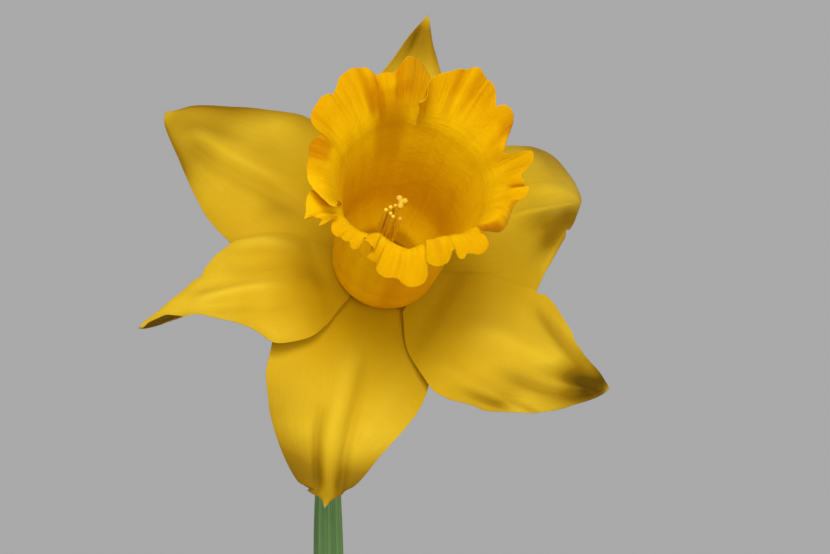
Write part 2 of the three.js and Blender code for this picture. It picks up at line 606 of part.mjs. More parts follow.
function corona() {
  const cupRadius = curveThrough(CORONA.cup);
  const [throatRadius, throat] = CORONA.throat;
  const columns = coronaColumns();
  const inner = [];
  const outer = [];
  const ring = (place) => columns.map((one) => {
    const [radius, z] = place(one);
    return new THREE.Vector3(radius * Math.cos(one.azimuth), radius * Math.sin(one.azimuth), z);
  });
  const pair = (place, lean) => {
    inner.push(ring(place));
    outer.push(ring((one) => {
      const [radius, z] = place(one);
      return [radius + CORONA.wall * Math.cos(lean), z - CORONA.wall * Math.sin(lean)];
    }));
  };
  inner.push(ring(() => [CORONA.collarRadius, CORONA.collarFoot]));
  outer.push(ring(() => [CORONA.collarRadius + CORONA.wall, CORONA.collarFoot]));
  inner.push(ring(() => CORONA.funnel[0]));
  outer.push(ring(() => [CORONA.collarRadius + CORONA.wall, CORONA.foot]));
  inner.push(ring(() => CORONA.funnel[1]));
  outer.push(ring(() => [CORONA.footRadius + CORONA.wall, CORONA.foot]));
  for (let k = 1; k <= CORONA.cupRows; k += 1) {
    const z = lerp(CORONA.foot, throat, k / CORONA.cupRows);
    pair(() => [cupRadius(z), z], CORONA.cupLean);
  }
  for (let k = 1; k <= CORONA.flareRows; k += 1) {
    const t = k / CORONA.flareRows;
    const mix = (a, b, c) => (1 - t) ** 2 * a + 2 * t * (1 - t) * b + t * t * c;
    const lean = lerp(CORONA.cupLean, CORONA.mouthLean, t);
    pair((one) => [mix(throatRadius, CORONA.bend[0], one.reach), mix(throat, CORONA.bend[1], one.front)], lean);
  }
  return bodyBetween(outer, inner, { ring: true });
}

// Ring of points round the leaning line of the pistil
function leaningRing(z, ringRadius, azimuth, radius, sides) {
  const share = Math.max(0, z / LEAN.top) ** LEAN.power;
  const x = LEAN.x * share + ringRadius * Math.cos(azimuth);
  const y = LEAN.y * share + ringRadius * Math.sin(azimuth);
  return Array.from({ length: sides }, (_, c) => {
    const angle = (2 * Math.PI * c) / sides;
    return new THREE.Vector3(x + radius * Math.cos(angle), y + radius * Math.sin(angle), z);
  });
}

// Stamen: a thin filament that carries an upright anther
function stamen(index) {
  const azimuth = degToRad(STAMENS.turn + (360 * index) / STAMENS.count);
  const lift = index % 2 === 0 ? 0 : STAMENS.lift;
  const anther = STAMENS.anther.map(([z, ...rest]) => [z + lift, ...rest]);
  return bodyThrough([...STAMENS.filament, ...anther].map(
    ([z, ringRadius, radius]) => leaningRing(z, ringRadius, azimuth, radius, STAMENS.sides)));
}

// Pistil: a style with three rounded stigma lobes
function pistil() {
  const { styleRadius, styleHeights, sides, lobes, lobeRadius, lobeStretch, lobeOffset } = PISTIL;
  let body = solid(bodyThrough(styleHeights.map((z) => leaningRing(z, 0, 0, styleRadius, sides))));
  for (let k = 0; k < lobes; k += 1) {
    const angle = Math.PI / 2 + (2 * Math.PI * k) / lobes;
    const [x, y] = [LEAN.x + lobeOffset * Math.cos(angle), LEAN.y + lobeOffset * Math.sin(angle)];
    const lobe = new THREE.SphereGeometry(lobeRadius, sides, PISTIL.lobeRows);
    body = body.add(solid(lobe.scale(...lobeStretch).rotateZ(angle).translate(x, y, PISTIL.lobeHeight)));
  }
  return geometryOf(body);
}

add('pot', pot(), 'clay');
add('soil', soil(), 'compost');
add('bulb', bulb(), 'tunic');
add('sheath_main', sheath(SHOOTS.main), 'sheath');
add('sheath_side', sheath(SHOOTS.side), 'sheath');
for (const [name, shape] of Object.entries(LEAVES)) add(name, leaf(shape), 'leaf');
add('scape', scape(), 'stem');
add('spathe', spathe(), 'paper');
add('floral_tube', floralTube(), 'tube', bloom);
for (const [name, shape] of Object.entries(TEPALS)) add(name, tepal(shape), 'tepal', bloom);
add('corona', corona(), 'corona', bloom);
for (let k = 0; k < STAMENS.count; k += 1) add(`stamen_${k + 1}`, stamen(k), 'anther', bloom);
add('pistil', pistil(), 'stigma', bloom);

export default part;
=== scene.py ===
"""Looks for a trumpet daffodil in flower, growing from its bulb in a clay pot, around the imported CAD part."""

import math

import bmesh
import bpy
import numpy as np
from mathutils import Matrix, Vector


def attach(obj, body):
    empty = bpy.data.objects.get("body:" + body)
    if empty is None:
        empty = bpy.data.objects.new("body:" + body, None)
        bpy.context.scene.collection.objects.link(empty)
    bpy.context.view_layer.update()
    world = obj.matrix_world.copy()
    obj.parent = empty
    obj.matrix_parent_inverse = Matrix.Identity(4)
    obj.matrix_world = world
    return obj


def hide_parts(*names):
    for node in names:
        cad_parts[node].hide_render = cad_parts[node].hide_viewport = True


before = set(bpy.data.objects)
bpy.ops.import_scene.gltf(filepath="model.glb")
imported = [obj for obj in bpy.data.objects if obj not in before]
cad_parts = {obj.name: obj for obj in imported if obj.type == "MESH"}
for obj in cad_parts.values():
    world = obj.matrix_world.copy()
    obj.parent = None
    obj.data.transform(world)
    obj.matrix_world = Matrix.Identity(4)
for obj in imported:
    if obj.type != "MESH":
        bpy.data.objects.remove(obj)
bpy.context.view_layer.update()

# Sizes are in millimetres, in the CAD part's own axes: +Z up, the origin in the middle of the pot's flat foot,
# the bloom looking towards -Y. Meshes are turned into metres when they are made.
MM = 0.001

# Camera: its offset from the bloom's centre is to its own right, up and back, and its picture's size is in
# pixels. It looks down by viewer_above. The bloom's axis leans away from it by tip_away in the direction
# tip_towards. These three are in degrees.
CAMERA = {"lens": 100, "sensor": 36, "offset": (6.154, -2.308, 443.376), "picture": (830, 554)}
BLOOM = {"centre": (10.5, -36, 392), "viewer_above": 5, "tip_away": 28, "tip_towards": 68}
# Soft square lamps: place from the bloom's centre, side, power in watts
LAMPS = {
    "key": ((20, -700, 580), 460, 8.1),
    "back": ((-120, 900, 260), 420, 1.6),
    "fill": ((240, -715, 120), 420, 2.4),
}
LAMP_COLOUR = (1, 0.98, 0.95)
WORLD = {"colour": (0.80, 0.80, 0.80), "strength": 0.5}
FLOOR = {"radius": 1500, "sides": 96, "tones": [(0.72, 0.72, 0.71), (0.76, 0.76, 0.75)]}

POT = {
    "height": 115, "foot_radius": 44, "body_top_radius": 62, "rim_radius": 65, "band_height": 25,
    "band_taper": 3, "wall": 6, "lip": 8, "floor": 7, "holes": 3, "hole_radius": 5, "hole_ring": 22,
    "corner": 1.4, "sides": 144, "steps": 420,
}

# Soil: its top swells in waves, given by how far x, y and a slanting line run in a radian
SOIL = {
    "top": 98, "swell": 1.1, "wave_x": 9, "wave_y": 11, "wave_slant": 7, "slant_share": 0.4,
    "wave_share": 0.8, "lump_share": 0.6, "slack": 0.7,
    "foot_gap": 1.5, "rings": 70, "sides": 180,
}
# Crumbs strewn over the soil: name, finish and the inputs of the strewing recipe, in metres
STREWN = [
    ("compost_crumbs", "compost", {
        "Spacing": 0.0013, "Density": 420000.0, "Smallest": 0.0004, "Largest": 0.0012, "Roundness": 1,
        "Seed": 3}),
    ("compost_lumps", "bark", {
        "Spacing": 0.005, "Density": 18000.0, "Smallest": 0.0012, "Largest": 0.0026, "Flatness": 0.45,
        "Roundness": 1, "Seed": 8}),
    ("white_grit", "grit", {
        "Spacing": 0.008, "Density": 6000.0, "Smallest": 0.0007, "Largest": 0.0014, "Flatness": 0.9,
        "Seed": 5}),
]

# Bulb with a side shoot: where each nose stands, and its outline as height and radius
SHOOTS = {
    "main": {
        "x": 0, "y": 0, "pocket_radius": 9.5, "pocket_floor": 100.7, "sheath_height": 35,
        "outline": [(58, 7), (62, 14), (70, 20), (80, 22), (90, 20.5), (99, 16), (106, 12.6), (112, 11.6)],
    },
    "side": {
        "x": -27, "y": 9, "pocket_radius": 7.1, "pocket_floor": 96.4, "sheath_height": 26,
        "outline": [(67, 5), (71, 11), (78, 14.5), (86, 15), (94, 12.5), (101, 9.8), (106, 9)],
    },
}
# Gap between a nose's pocket, the sheath in it and the leaves in the sheath
GAP = 0.3
BULB = {"sides": 120, "rows": 60, "torn": 1.2, "tear": 1.1, "rib": 0.18, "fine_rib": 0.12}
# Torn scales of the tunic: nose, heading and half width in degrees, foot, top, and how far each stands off at
# its tip
SCALES = [
    ("main", 250, 40, 97, 117, 1.4), ("main", 330, 34, 97, 113, 0.8), ("main", 60, 44, 98, 118, 1.0),
    ("main", 150, 30, 98, 112, 0.6), ("side", 210, 46, 95, 110, 1.0), ("side", 300, 40, 95, 108, 0.6),
    ("side", 100, 44, 95, 111, 0.8),
]
SCALE = {
    "off": 0.35, "wall": 0.18, "arched": 0.45, "torn": 0.12, "tapered": 0.35, "uneven": 0.15, "columns": 40,
    "rows": 36,
}
SHEATH = {
    "wall": 0.7, "slant": 5, "drawn_in": 2.0, "rib": 0.1, "wavy": 0.25, "ragged": 0.6, "teeth": 0.2,
    "notches": 2, "rows": 40, "columns": 96,
}

# Leaves: shoot, heading in degrees, length, lean at the tip, twist at the tip, widest width
LEAVES = {
    "leaf_main_1": ("main", 40, 214, 13, 24, 13.5),
    "leaf_main_2": ("main", 130, 205, 17, -30, 13),
    "leaf_main_3": ("main", 220, 196, 21, 18, 13.5),
    "leaf_main_4": ("main", 310, 188, 15, -22, 12.5),
    "leaf_side_1": ("side", 165, 178, 24, 26, 11.5),
    "leaf_side_2": ("side", 285, 150, 26, -18, 10.5),
    "leaf_side_3": ("side", 45, 140, 8, 14, 10),
}
LEAF = {
    "rows": 96, "columns": 20, "edge": 0.5, "tip_thickness": 0.9, "channel": 1.5, "tip_length": 20,
    "tip_taper": 0.985, "spread_power": 0.8, "keel": 0.25, "keel_width": 0.12, "sway": 0.25,
    "widens": (0.25, 0.65),
}
# Where a shoot's leaves start: distance from its middle, width and thickness
LEAF_ROOT = {"main": (4.4, 8, 1.8), "side": (2.4, 7, 1.5)}

# Scape, pedicel and ovary in one: points up the stem, distances along the bloom's axis, and its girth as the
# share of the path's length, the half width across and the half width front to back
SCAPE = {
    "path": [(0, 0, 101), (0, 0, 135), (-0.4, 1.2, 210), (-1.2, 3.4, 290), (-1.8, 5, 338), (-1.6, 5.2, 350)],
    "along": [-41, -36, -32, -28, -25.6],
    "girth": [
        (0, 3.7, 3.1), (0.4, 3.6, 3.0), (0.78, 3.1, 2.6), (0.84, 2.6, 2.3), (0.88, 1.8, 1.8),
        (0.925, 1.9, 1.9), (0.945, 3.4, 3.4), (0.965, 4.0, 4.0), (0.985, 3.7, 3.7), (1, 3.1, 3.1),
    ],
    "edges": 0.03, "edges_end": (0.8, 0.88), "ribs": 0.035, "ribs_start": (0.93, 0.96), "fine_ribs": 0.008,
    "rows": 260, "sides": 48,
}

# Spathe: distance up from its foot, half angle of its wrap in degrees, radius, and how far back it stands
SPATHE = {
    "foot": (-1.7, 5.1, 343), "wall": 0.35, "crumple": 0.25, "fine_crumple": 0.12, "ragged": 0.5,
    "rows": 70, "columns": 56,
    "stations": [
        (0, 150, 3.7, 0), (8, 140, 4.6, 0.4), (18, 115, 5.4, 2.4), (30, 85, 5.6, 6.5), (40, 60, 4.2, 11),
        (47, 40, 1.4, 14.5),
    ],
}

# Floral tube: distance along the bloom's axis and radius
TUBE = {
    "outline": [(-25.3, 3.2), (-20, 3.7), (-13, 4.6), (-7, 5.9), (-4, 7.2), (-2.6, 9.4), (-1.7, 9.4)],
    "wall": 0.8, "mouth_radius": 6.3, "lip": 1.2, "rib": 0.03, "outer_rings": 60, "inner_rings": 20,
    "sides": 96,
}

# Tepals: heading in degrees anticlockwise from the bloom's right, then its ribs from root to tip. A rib is its
# distance from the axis, the reach of its clockwise and other side, the midrib's sidestep, its rise along the
# axis, and how far each side rolls forward at its margin, in degrees.
TEPALS = {
    "tepal_bottom": (256, [
        (7.8, 5.5, 6.5, -0.6, -0.7, 0, 0), (11, 9.0, 10.5, -2.0, -0.6, 0, 0),
        (16, 12.2, 14.4, -2.9, 0, -6, -4), (22, 14.1, 16.6, -2.8, 0.2, -10, -8),
        (26.5, 14.0, 16.0, -2.8, 0.2, -12, -9), (31, 13.0, 14.2, -2.7, 0.1, -14, -10),
        (38, 10.6, 9.9, -2.0, -0.6, -14, -10), (44.5, 7.2, 5.6, -0.8, -2.0, -8, 6),
        (47.6, 4.3, 2.2, -0.1, -2.9, 0, 14), (48.7, 1.1, 0.8, 0.1, -3.2, 0, 6), (50.1, 0, 0, 0.1, -3.6, 0, 0)]),
    "tepal_lower_right": (330, [
        (7.8, 6.0, 4.0, -0.8, 0.6, 0, 0), (12, 11.0, 7.5, -2.2, 0.6, 0, 0),
        (16, 13.9, 9.6, -2.5, 2.0, -6, 0), (22, 16.6, 11.4, -2.3, 3.0, -12, -6),
        (29.5, 16.4, 11.5, -1.1, 3.2, -14, -10), (36, 13.5, 7.9, -1.0, 2.6, -8, 4),
        (41.5, 10.7, 4.1, -0.6, 1.6, 14, 30), (46.5, 5.6, 1.9, 0.1, 0.2, 30, 50),
        (49.7, 0, 0, 0.9, -0.8, 0, 0)]),
    "tepal_upper_right": (26, [
        (7.8, 3.5, 3.5, -0.6, -0.7, 0, 0), (11, 7.5, 7.0, -0.8, -0.6, 0, 0),
        (17, 13.0, 11.5, -0.4, 0.2, -6, -4), (24, 17.3, 13.4, 0, 0.6, -14, -10),
        (30, 13.8, 13.6, 0.2, 0.5, -22, -16), (36, 9.8, 14.8, 0.2, 0, -26, -20),
        (41, 5.9, 14.2, -0.2, -1.6, -24, -22), (44.6, 3.4, 12.0, 0.6, -3.8, -16, -20),
        (46.8, 2.2, 7.4, 2.0, -5.8, -8, -12), (47.8, 0, 0, 3.6, -7.0, 0, 0)]),
    "tepal_top": (79, [
        (7.8, 3.0, 3.0, 0, 0.6, 0, 0), (12, 6.5, 6.5, 0, 0.6, 0, 0), (18, 10.8, 11.3, 0.2, 3.0, 6, 10),
        (28, 10.4, 11.6, 0.3, 6.2, 8, 24), (35, 6.7, 8.2, 0.4, 8.6, 10, 44),
        (40, 3.6, 5.9, 0.4, 10.3, 12, 60),
        (44, 1.6, 3.8, 0.5, 11.6, 10, 60), (47.4, 0.6, 1.5, 0.7, 12.6, 6, 40), (49.8, 0, 0, 0.9, 13.2, 0, 0)]),
    "tepal_upper_left": (143, [
        (7.8, 3.5, 3.5, -0.4, -0.7, 0, 0), (11, 7.0, 7.0, -0.8, -0.6, 0, 0),
        (17, 12.8, 12.8, -1.7, 0, -4, -8), (24, 16.0, 16.2, -1.8, 0.2, -8, -16),
        (31, 16.8, 14.1, -0.8, 0.3, -10, -20), (38, 13.4, 10.4, -0.1, 0.2, -10, -22),
        (45, 8.6, 5.9, 0.1, -0.2, -8, -22), (49.4, 4.8, 3.3, 0, -0.7, -4, -14),
        (51.4, 1.7, 1.9, -0.2, -1.1, 0, -4), (52.9, 0, 0, -0.4, -1.3, 0, 0)]),
    "tepal_lower_left": (197, [
        (7.8, 4.0, 5.0, -0.5, 0.6, 0, 0), (12, 6.6, 8.8, -1.4, 0.6, 0, 0),
        (15.5, 9.0, 11.6, -1.5, 2.0, -14, -6), (20, 10.2, 13.6, -1.6, 3.4, -28, -10),
        (25.5, 10.9, 12.8, -1.1, 3.8, -30, -8), (30, 9.1, 8.8, -0.8, 3.8, -24, 10),
        (34.5, 6.0, 5.6, -0.6, 3.4, -16, 24), (40, 2.9, 2.5, -0.1, 2.6, -6, 45),
        (42.5, 2.2, 3.9, 0.3, 2.2, 0, 105), (45, 1.3, 4.3, 0.6, 1.8, 0, 140),
        (47.4, 0.7, 3.0, 0.9, 1.3, 0, 140),
        (49.3, 0, 0, 1.2, 1.0, 0, 60)]),
}
# What the tepals share. Fades are the lengths over which ripples, margins and creases come and go. Curled is
# the roll in degrees over which painted shade comes onto a blade's curled-back parts.
TEPAL = {
    "thickness": 0.5, "edge": 0.2, "thinner_tip": 0.6, "rows": 150, "columns": 84, "tip": 0.06, "crowded": 0.8,
    "curled": (62, 100), "uneven": 0.004, "ripple": 0.3, "fine_ripple": 0.15, "ripple_fades": (12, 6),
    "edge_fades": (10, 4), "crease_fades": (-3, 6, -2, 3),
}

# Relief and painted shading on each tepal's face: height, how much painted shade deepens its colour (painted
# highlight where below 0), half width, and the line that it follows in the camera's picture. Entries with no
# height are painted shade alone.
CREASES_AND_PAINTED_SHADING = {
    "tepal_bottom": [
        (0.85, -0.35, 2.3, [
            (353, 345), (347, 372), (341, 397), (335, 422), (330, 447), (328, 470), (328, 500)]),
        (-0.6, 0.3, 1.0, [(369, 350), (363, 375), (357, 400), (350, 425), (345, 450), (342, 475), (339, 492)]),
        (-0.6, 0.6, 0.9, [(322, 405), (318, 430), (317, 455), (318, 485)]),
        (0.35, -0.25, 2.8, [(392, 375), (384, 400), (370, 432), (354, 465)]),
        (0.2, 0.28, 7.0, [(286, 355), (284, 385), (288, 410)]),
        (0, 0.3, 3.4, [(290, 430), (298, 455), (310, 485)]),
        (0, 0.3, 2.8, [(366, 446), (354, 467), (342, 490)]),
        (0, 0.35, 14, [(327, 438), (326, 470), (326, 505)]),
        (0, 0.7, 14, [(327, 452), (326, 478), (326, 505)]),
    ],
    "tepal_lower_right": [
        (0.9, -0.45, 2.6, [(470, 325), (495, 335), (520, 347), (545, 357), (565, 366)]),
        (-0.6, 0.6, 1.5, [(500, 371), (525, 382), (550, 390), (575, 393), (596, 392)]),
        (-0.5, 0.6, 1.3, [(540, 369), (560, 376), (580, 382), (600, 387)]),
        (0.45, -0.1, 0.6, [(558, 383), (576, 387), (592, 389)]),
        (-0.6, 0.6, 1.5, [(535, 305), (550, 325), (568, 348), (586, 368)]),
        (0, 1.3, 3.4, [(568, 381), (588, 386), (605, 388)]),
        (0, 0.3, 30, [(505, 345), (550, 362), (603, 388)]),
        (0, 0.8, 1.8, [(550, 362), (578, 375), (602, 386)]),
        (0, 0.4, 3.0, [(450, 383), (480, 392), (510, 400)]),
        (0, 0.5, 1.4, [(545, 399), (565, 400), (588, 398)]),
        (0, 0.22, 8, [(412, 292), (430, 305), (450, 320)]),
        (-0.5, 0.5, 0.6, [(462, 391), (482, 399), (503, 406)]),
        (-0.4, 0.6, 0.6, [(514, 402), (524, 406), (534, 410)]),
        (0.4, -0.2, 1.6, [(432, 360), (460, 378), (500, 397)]),
    ],
    "tepal_upper_right": [
        (0.5, -0.3, 1.7, [(530, 192), (550, 190), (568, 193), (580, 200)]),
        (1.0, -0.2, 0.9, [(512, 216), (535, 212), (558, 208), (580, 206)]),
        (-0.8, 0.35, 1.6, [(520, 228), (542, 222), (560, 217), (579, 214)]),
        (-0.3, 0.3, 3.0, [(530, 246), (550, 236), (565, 227), (576, 220)]),
        (-0.4, 0.3, 1.6, [(530, 262), (543, 247), (556, 232), (570, 216)]),
        (0, 0.28, 30, [(490, 180), (575, 200)]), (0, 0.4, 7, [(495, 262), (525, 246), (558, 232)]),
        (0, 0.5, 6, [(535, 158), (552, 163), (566, 172), (576, 184)]),
        (0.3, -0.25, 0.9, [(541, 280), (550, 260), (560, 242), (568, 228)]),
    ],
    "tepal_top": [
        (0.4, 0.45, 2.6, [(416, 66), (422, 45), (428, 24)]), (0, 0.7, 30, [(405, 72), (415, 48), (426, 24)]),
        (-0.4, 0.5, 0.7, [(405, 60), (412, 46), (420, 30)]),
    ],
    "tepal_upper_left": [
        (0.8, -0.35, 2.2, [(196, 133), (215, 145), (240, 160), (262, 172), (292, 186)]),
        (-0.5, 0.25, 1.8, [(190, 146), (215, 163), (240, 177), (262, 188), (300, 212)]),
        (-0.4, 0.15, 2.2, [(190, 121), (240, 134), (292, 158)]),
        (0, 0.12, 30, [(185, 125), (240, 160), (300, 195)]),
        (0, 0.6, 30, [(167, 122), (190, 130), (225, 155)]),
        (0, 0.4, 3.5, [(167, 117), (174, 121), (182, 126)]),
        (0, 0.4, 2.6, [(265, 208), (288, 214), (305, 222)]),
        (0.3, -0.25, 2.4, [(270, 122), (285, 126), (300, 138)]),
    ],
    "tepal_lower_left": [
        (0.5, -0.7, 1.6, [(236, 243), (255, 240), (275, 241), (295, 246)]),
        (-0.45, 0.2, 2.2, [(230, 268), (255, 267), (280, 266), (305, 268)]),
        (0.8, -0.45, 1.3, [(200, 300), (222, 294), (240, 290), (262, 287), (285, 284)]),
        (-0.4, 0.25, 1.0, [(195, 291), (215, 286), (238, 281)]),
        (-0.4, 0.15, 1.5, [(215, 308), (245, 306), (285, 305), (315, 300)]),
        (0.4, -0.25, 2.2, [(262, 328), (285, 332), (305, 326)]),
        (0, 0.45, 2.6, [(302, 272), (320, 280), (338, 290)]),
    ],
}
# Margins with painted shade: side seen from the root (-1 clockwise, 1 anticlockwise), from and to how far out,
# how much painted shade, and how closely it keeps to the edge
PAINTED_SHADE_MARGINS = {
    "tepal_bottom": [(-1, 27, 52, 0.7, 3), (1, 32, 52, 0.6, 3)],
    "tepal_lower_right": [(-1, 38, 52, 0.6, 3), (1, 38, 52, 0.5, 3), (-1, 20, 36, 0.3, 6)],
    "tepal_upper_right": [(1, 24, 46, 0.4, 6), (1, 38, 56, 0.7, 2), (-1, 30, 50, 0.65, 1.5)],
    "tepal_top": [(-1, 10, 50, 0.5, 4)],
    "tepal_upper_left": [(-1, 20, 54, 0.8, 5), (1, 34, 54, 0.7, 4), (1, 16, 40, 0.25, 6)],
    "tepal_lower_left": [(-1, 30, 52, 0.35, 4)],
}
# Nicks in a tepal's margin: place in the camera's picture, depth and half width
NICKS = {
    "tepal_bottom": [((304, 487), 2.2, 0.3), ((347, 491), 0.5, 0.6)],
    "tepal_lower_right": [((541, 291), 0.5, 0.8), ((575, 343), 0.3, 0.8)],
    "tepal_upper_right": [((569, 236), 0.8, 0.6)],
    "tepal_lower_left": [((200, 275), 0.7, 0.9)],
}

# Corona: its cup as distance along the axis and radius, then the frilled mouth
CORONA = {
    "wall": 0.6, "collar_radius": 6.35, "collar_foot": -1.4,
    "cup": [(6.6, 9.7), (8, 10.1), (15, 10.5), (22, 11.1), (27, 12), (30.5, 13)],
    "funnel": [(6.5, -1), (6.7, 1.6), (8.4, 4.2), (9.7, 6.6)], "funnel_rows": 6, "rib": 0.12,
    "foot": [(6.95, -1.4), (6.95, 0.95), (9.0, 0.95), (9.8, 1.1), (10.1, 1.8), (10.25, 3.2), (10.3, 5.0)],
    "throat": (13, 30.5), "narrows": 0.5, "mouth": 37.5, "mouth_tilt": 1.5, "crest": 0.7,
    "columns": 770, "cup_rows": 16, "flare_rows": 40, "walked": 4000, "smoothing": 60, "evened": 0.03,
    "thin_margin": 0.22, "crimp": 0.06, "crimp_length": 2.2, "seam": 3, "bend_span": 8, "pleat": 0.25,
    # On the line below: painted shade for each unit of fold depth, how folds fade in, how the corona's painted
    # shade and light fade in, and painted shade over the whole outer face
    "folds_painted_shade": 0.9, "folds_fade": 0.3, "painted_shading_fade": 0.2, "outside": 0.75,
}
# Where the cup bends out into the mouth: azimuth from the bloom's right, radius, and distance along the axis
BEND = [
    (0, 14.6, 35.4), (30, 14.8, 35.2), (60, 14.6, 35.2), (84, 13.8, 35.8), (94, 14.6, 37.2),
    (108, 15.0, 37.6), (117, 14.8, 37.0), (128, 14.6, 35.6), (145, 14.6, 35.6), (165, 14.2, 36.0),
    (190, 14.6, 36.0), (208, 15.2, 36.0), (222, 14.8, 36.2), (231, 13.6, 36.4), (241, 12.0, 36.8),
    (252, 12.3, 36.4), (263, 12.7, 36.0), (272, 11.8, 36.6), (281, 10.9, 37.8), (292, 11.1, 37.8),
    (302, 11.6, 37.4), (314, 12.8, 36.6), (335, 14.2, 35.8),
]
# The mouth's margin, lobe by lobe and anticlockwise from the right. Each point is its place in the camera's
# picture, how far forward of the mouth's level it lies, and how far the lobe bulges before it.
MARGIN = [
    # right
    (516, 203, -1.0, 0.6), (520, 200, -0.4, 0.6), (525, 197, 0, 0.3), (528, 192, 0.3, 0),
    (528.5, 187, 0.5, 0), (525, 185.5, -0.3, -0.6), (524, 181, 0, 0), (521, 175.5, 0.2, 0),
    # upper right, pointed
    (527, 168, 0.7, 0), (532, 162, 1.0, 0), (533.5, 156, 1.2, 0), (532, 151, 1.2, 0), (524, 151, 0.8, 0.3),
    (513, 154, 0, 0.2), (503, 152.5, -0.6, 0),
    # small, its right side curled back
    (505, 147, -1.6, 1.2), (508, 138, -2.0, 1.6), (511, 130, -1.8, 1.6), (513.5, 121, -1.2, 1.0),
    (513.5, 114, -0.5, 0.5), (510, 107.5, 0, 0.2), (504, 104.5, 0.2, 0), (499, 105.5, 0, 0),
    (496.5, 106, -0.4, 0),
    # large, with grooves
    (496, 98, 0, 0.2), (495.5, 89, 0.2, 0.4), (493, 83, 0.2, 0.4), (488, 79.5, -0.5, -0.3),
    (485, 75, 0.2, 0.2), (481, 68.5, 0.5, 0), (475, 67.3, 0.4, 0), (468, 68.6, 0, -0.2),
    (460, 68.3, 0.3, 0), (453, 70.8, 0, -0.2), (446, 72.2, 0.2, 0), (438, 74.6, 0.4, 0.2),
    (431.5, 78.6, 0.6, 0.3), (428.5, 85, 1.0, 0.4), (428.3, 93, 1.4, 0.4), (425.5, 99.5, 1.7, 0.3),
    (419, 103, 1.6, 0.2), (419, 104, -0.6, 0), (427, 96, -3.4, 0),
    # top, its right side turned back behind the large one
    (433, 87, -3.0, 0.2), (430.5, 77, -3.4, 0.6), (425.5, 69, -3.0, 0.9), (421.5, 62, -2.2, 0.9),
    (415.5, 57.3, -1.0, 0.5), (409, 56, 0.2, 0),
    (404.5, 59, 0.5, 0), (399, 66, 0.2, 0), (393, 72.5, -0.3, 0),
    # low, behind its neighbours
    (388, 72.3, -0.4, 0), (382, 73, -0.2, 0), (376.5, 74.4, -0.4, -0.3),
    # upper left, round
    (373, 71, 0, 0), (367, 67.8, 0.3, 0), (360, 66.8, 0.4, 0.2), (352, 68, 0.4, 0.2), (345, 72, 0.3, 0),
    (339, 78.5, 0, -0.2), (337.5, 84, 0, 0.2), (335, 90, 0, 0), (333, 93.8, -0.5, -0.3),
    # left, broad
    (327, 94, 0.3, 0), (321, 97.3, 0.2, 0), (317.8, 102, 0, -0.2), (313.5, 108.5, 0.2, 0),
    (311, 115, 0.3, 0.2), (311.5, 121.5, 0.3, 0.3), (315.5, 127.5, 0.2, 0), (319.5, 131.5, -0.3, -0.3),
    (322, 134.8, -0.9, -0.8),
    # left, wrinkled and curled back
    (317, 136.5, -1.0, 0.5), (312.5, 140.5, -1.3, 1.0), (309.5, 146, -1.3, 1.2), (308.8, 152.5, -0.9, 1.0),
    (308.6, 158, -0.4, 0.2), (307.4, 165, 0.4, 0.4), (307, 172, 0.8, 0.6), (308, 180, 1.2, 0.8),
    # lower left, folded in over its neighbour
    (312.5, 187.5, 1.3, 0.6), (318, 193.5, 1.8, 0.6), (324, 199, 2.2, 0.6), (330, 204.5, 2.5, 0.5),
    (335, 206.4, 2.5, 0.4), (336.5, 206.5, 1.4, 0.1), (332, 204.5, -0.2, 0), (325, 199, -1.0, 0),
    (317.5, 193, -1.4, 0),
    # lower left, under the fold
    (312, 190.2, -1.0, 0.2), (308, 194.5, -1.2, 0.4), (305.8, 202, -1.2, 0.5), (305.8, 211, -1.3, 0.5),
    (304.5, 219.5, -1.8, 0.2), (310, 215.5, -1.4, 0.2), (316, 217.8, -1.4, 0.3), (322, 219.5, -1.7, 0),
    (318.5, 225.5, -2.6, 0), (325, 223.3, -2.2, 0.2), (332, 220.5, -2.4, -0.3),
    # lower, ragged
    (331, 226, -1.8, 0.3), (332, 232.5, -1.8, 0.5), (337, 237, -1.8, 0.5), (341, 237.3, -1.9, 0),
    (344, 240.7, -1.8, 0.2), (349.8, 242.5, -2.0, 0), (350.5, 247, -2.2, 0.2), (354.5, 249.8, -2.4, 0.3),
    (359, 248.5, -2.4, 0.2), (361.5, 243.5, -2.0, 0), (365.5, 240.6, -1.6, -0.3),
    (369.5, 243.5, -1.4, -0.3), (374.5, 250, -1.8, 0), (371, 251.5, -2.6, 0.2), (366.5, 257.5, -3.6, 0.4),
    (372, 261.5, -3.8, 0.8), (376.5, 264.5, -3.4, 0.8),
    # bottom, a large tongue of two bumps
    (375.3, 268.5, -2.8, 0.6), (378.5, 273.8, -2.6, 0.6), (385, 277.6, -2.6, 0.6), (392, 278.2, -2.6, 0.5),
    (398, 278.8, -2.7, 0.3), (402, 283.3, -2.8, 0.5), (408, 286.8, -2.8, 0.7), (415, 287.2, -2.8, 0.7),
    (421.5, 285, -2.8, 0.6), (426, 280.5, -2.7, 0.5), (428.2, 273, -2.4, 0.3), (427.2, 266, -2.0, 0),
    # lower right
    (425.5, 261, -1.2, -0.4), (430, 264.5, -1.4, 0.2), (437, 266.6, -1.6, 0.6), (444, 264.8, -1.6, 0.6),
    (448.6, 261.5, -1.5, 0.3), (451.5, 255, -1.2, 0), (452.5, 250.2, -0.6, -0.5), (455, 250, -0.8, -0.4),
    (457, 255.3, -1.2, 0), (460.5, 259.2, -1.5, 0.2), (464.8, 258, -1.4, 0), (467, 253.8, -1.0, -0.2),
    # right, round
    (472, 253.6, -1.2, 0.3), (479.5, 254.8, -1.4, 0.7), (486, 250.5, -1.3, 0.7), (489, 243.5, -1.1, 0.5),
    (486.5, 236.5, -0.9, 0.2), (481.8, 231.8, -0.6, -0.3),
    # right, curled back
    (486.5, 230.8, -2.6, 1.6), (493, 232, -3.2, 2.4), (500.5, 231.3, -3.2, 2.6), (506.5, 225.5, -3.0, 2.6),
    (510, 216.5, -2.6, 2.2), (512.8, 208.5, -1.8, 1.4),
]
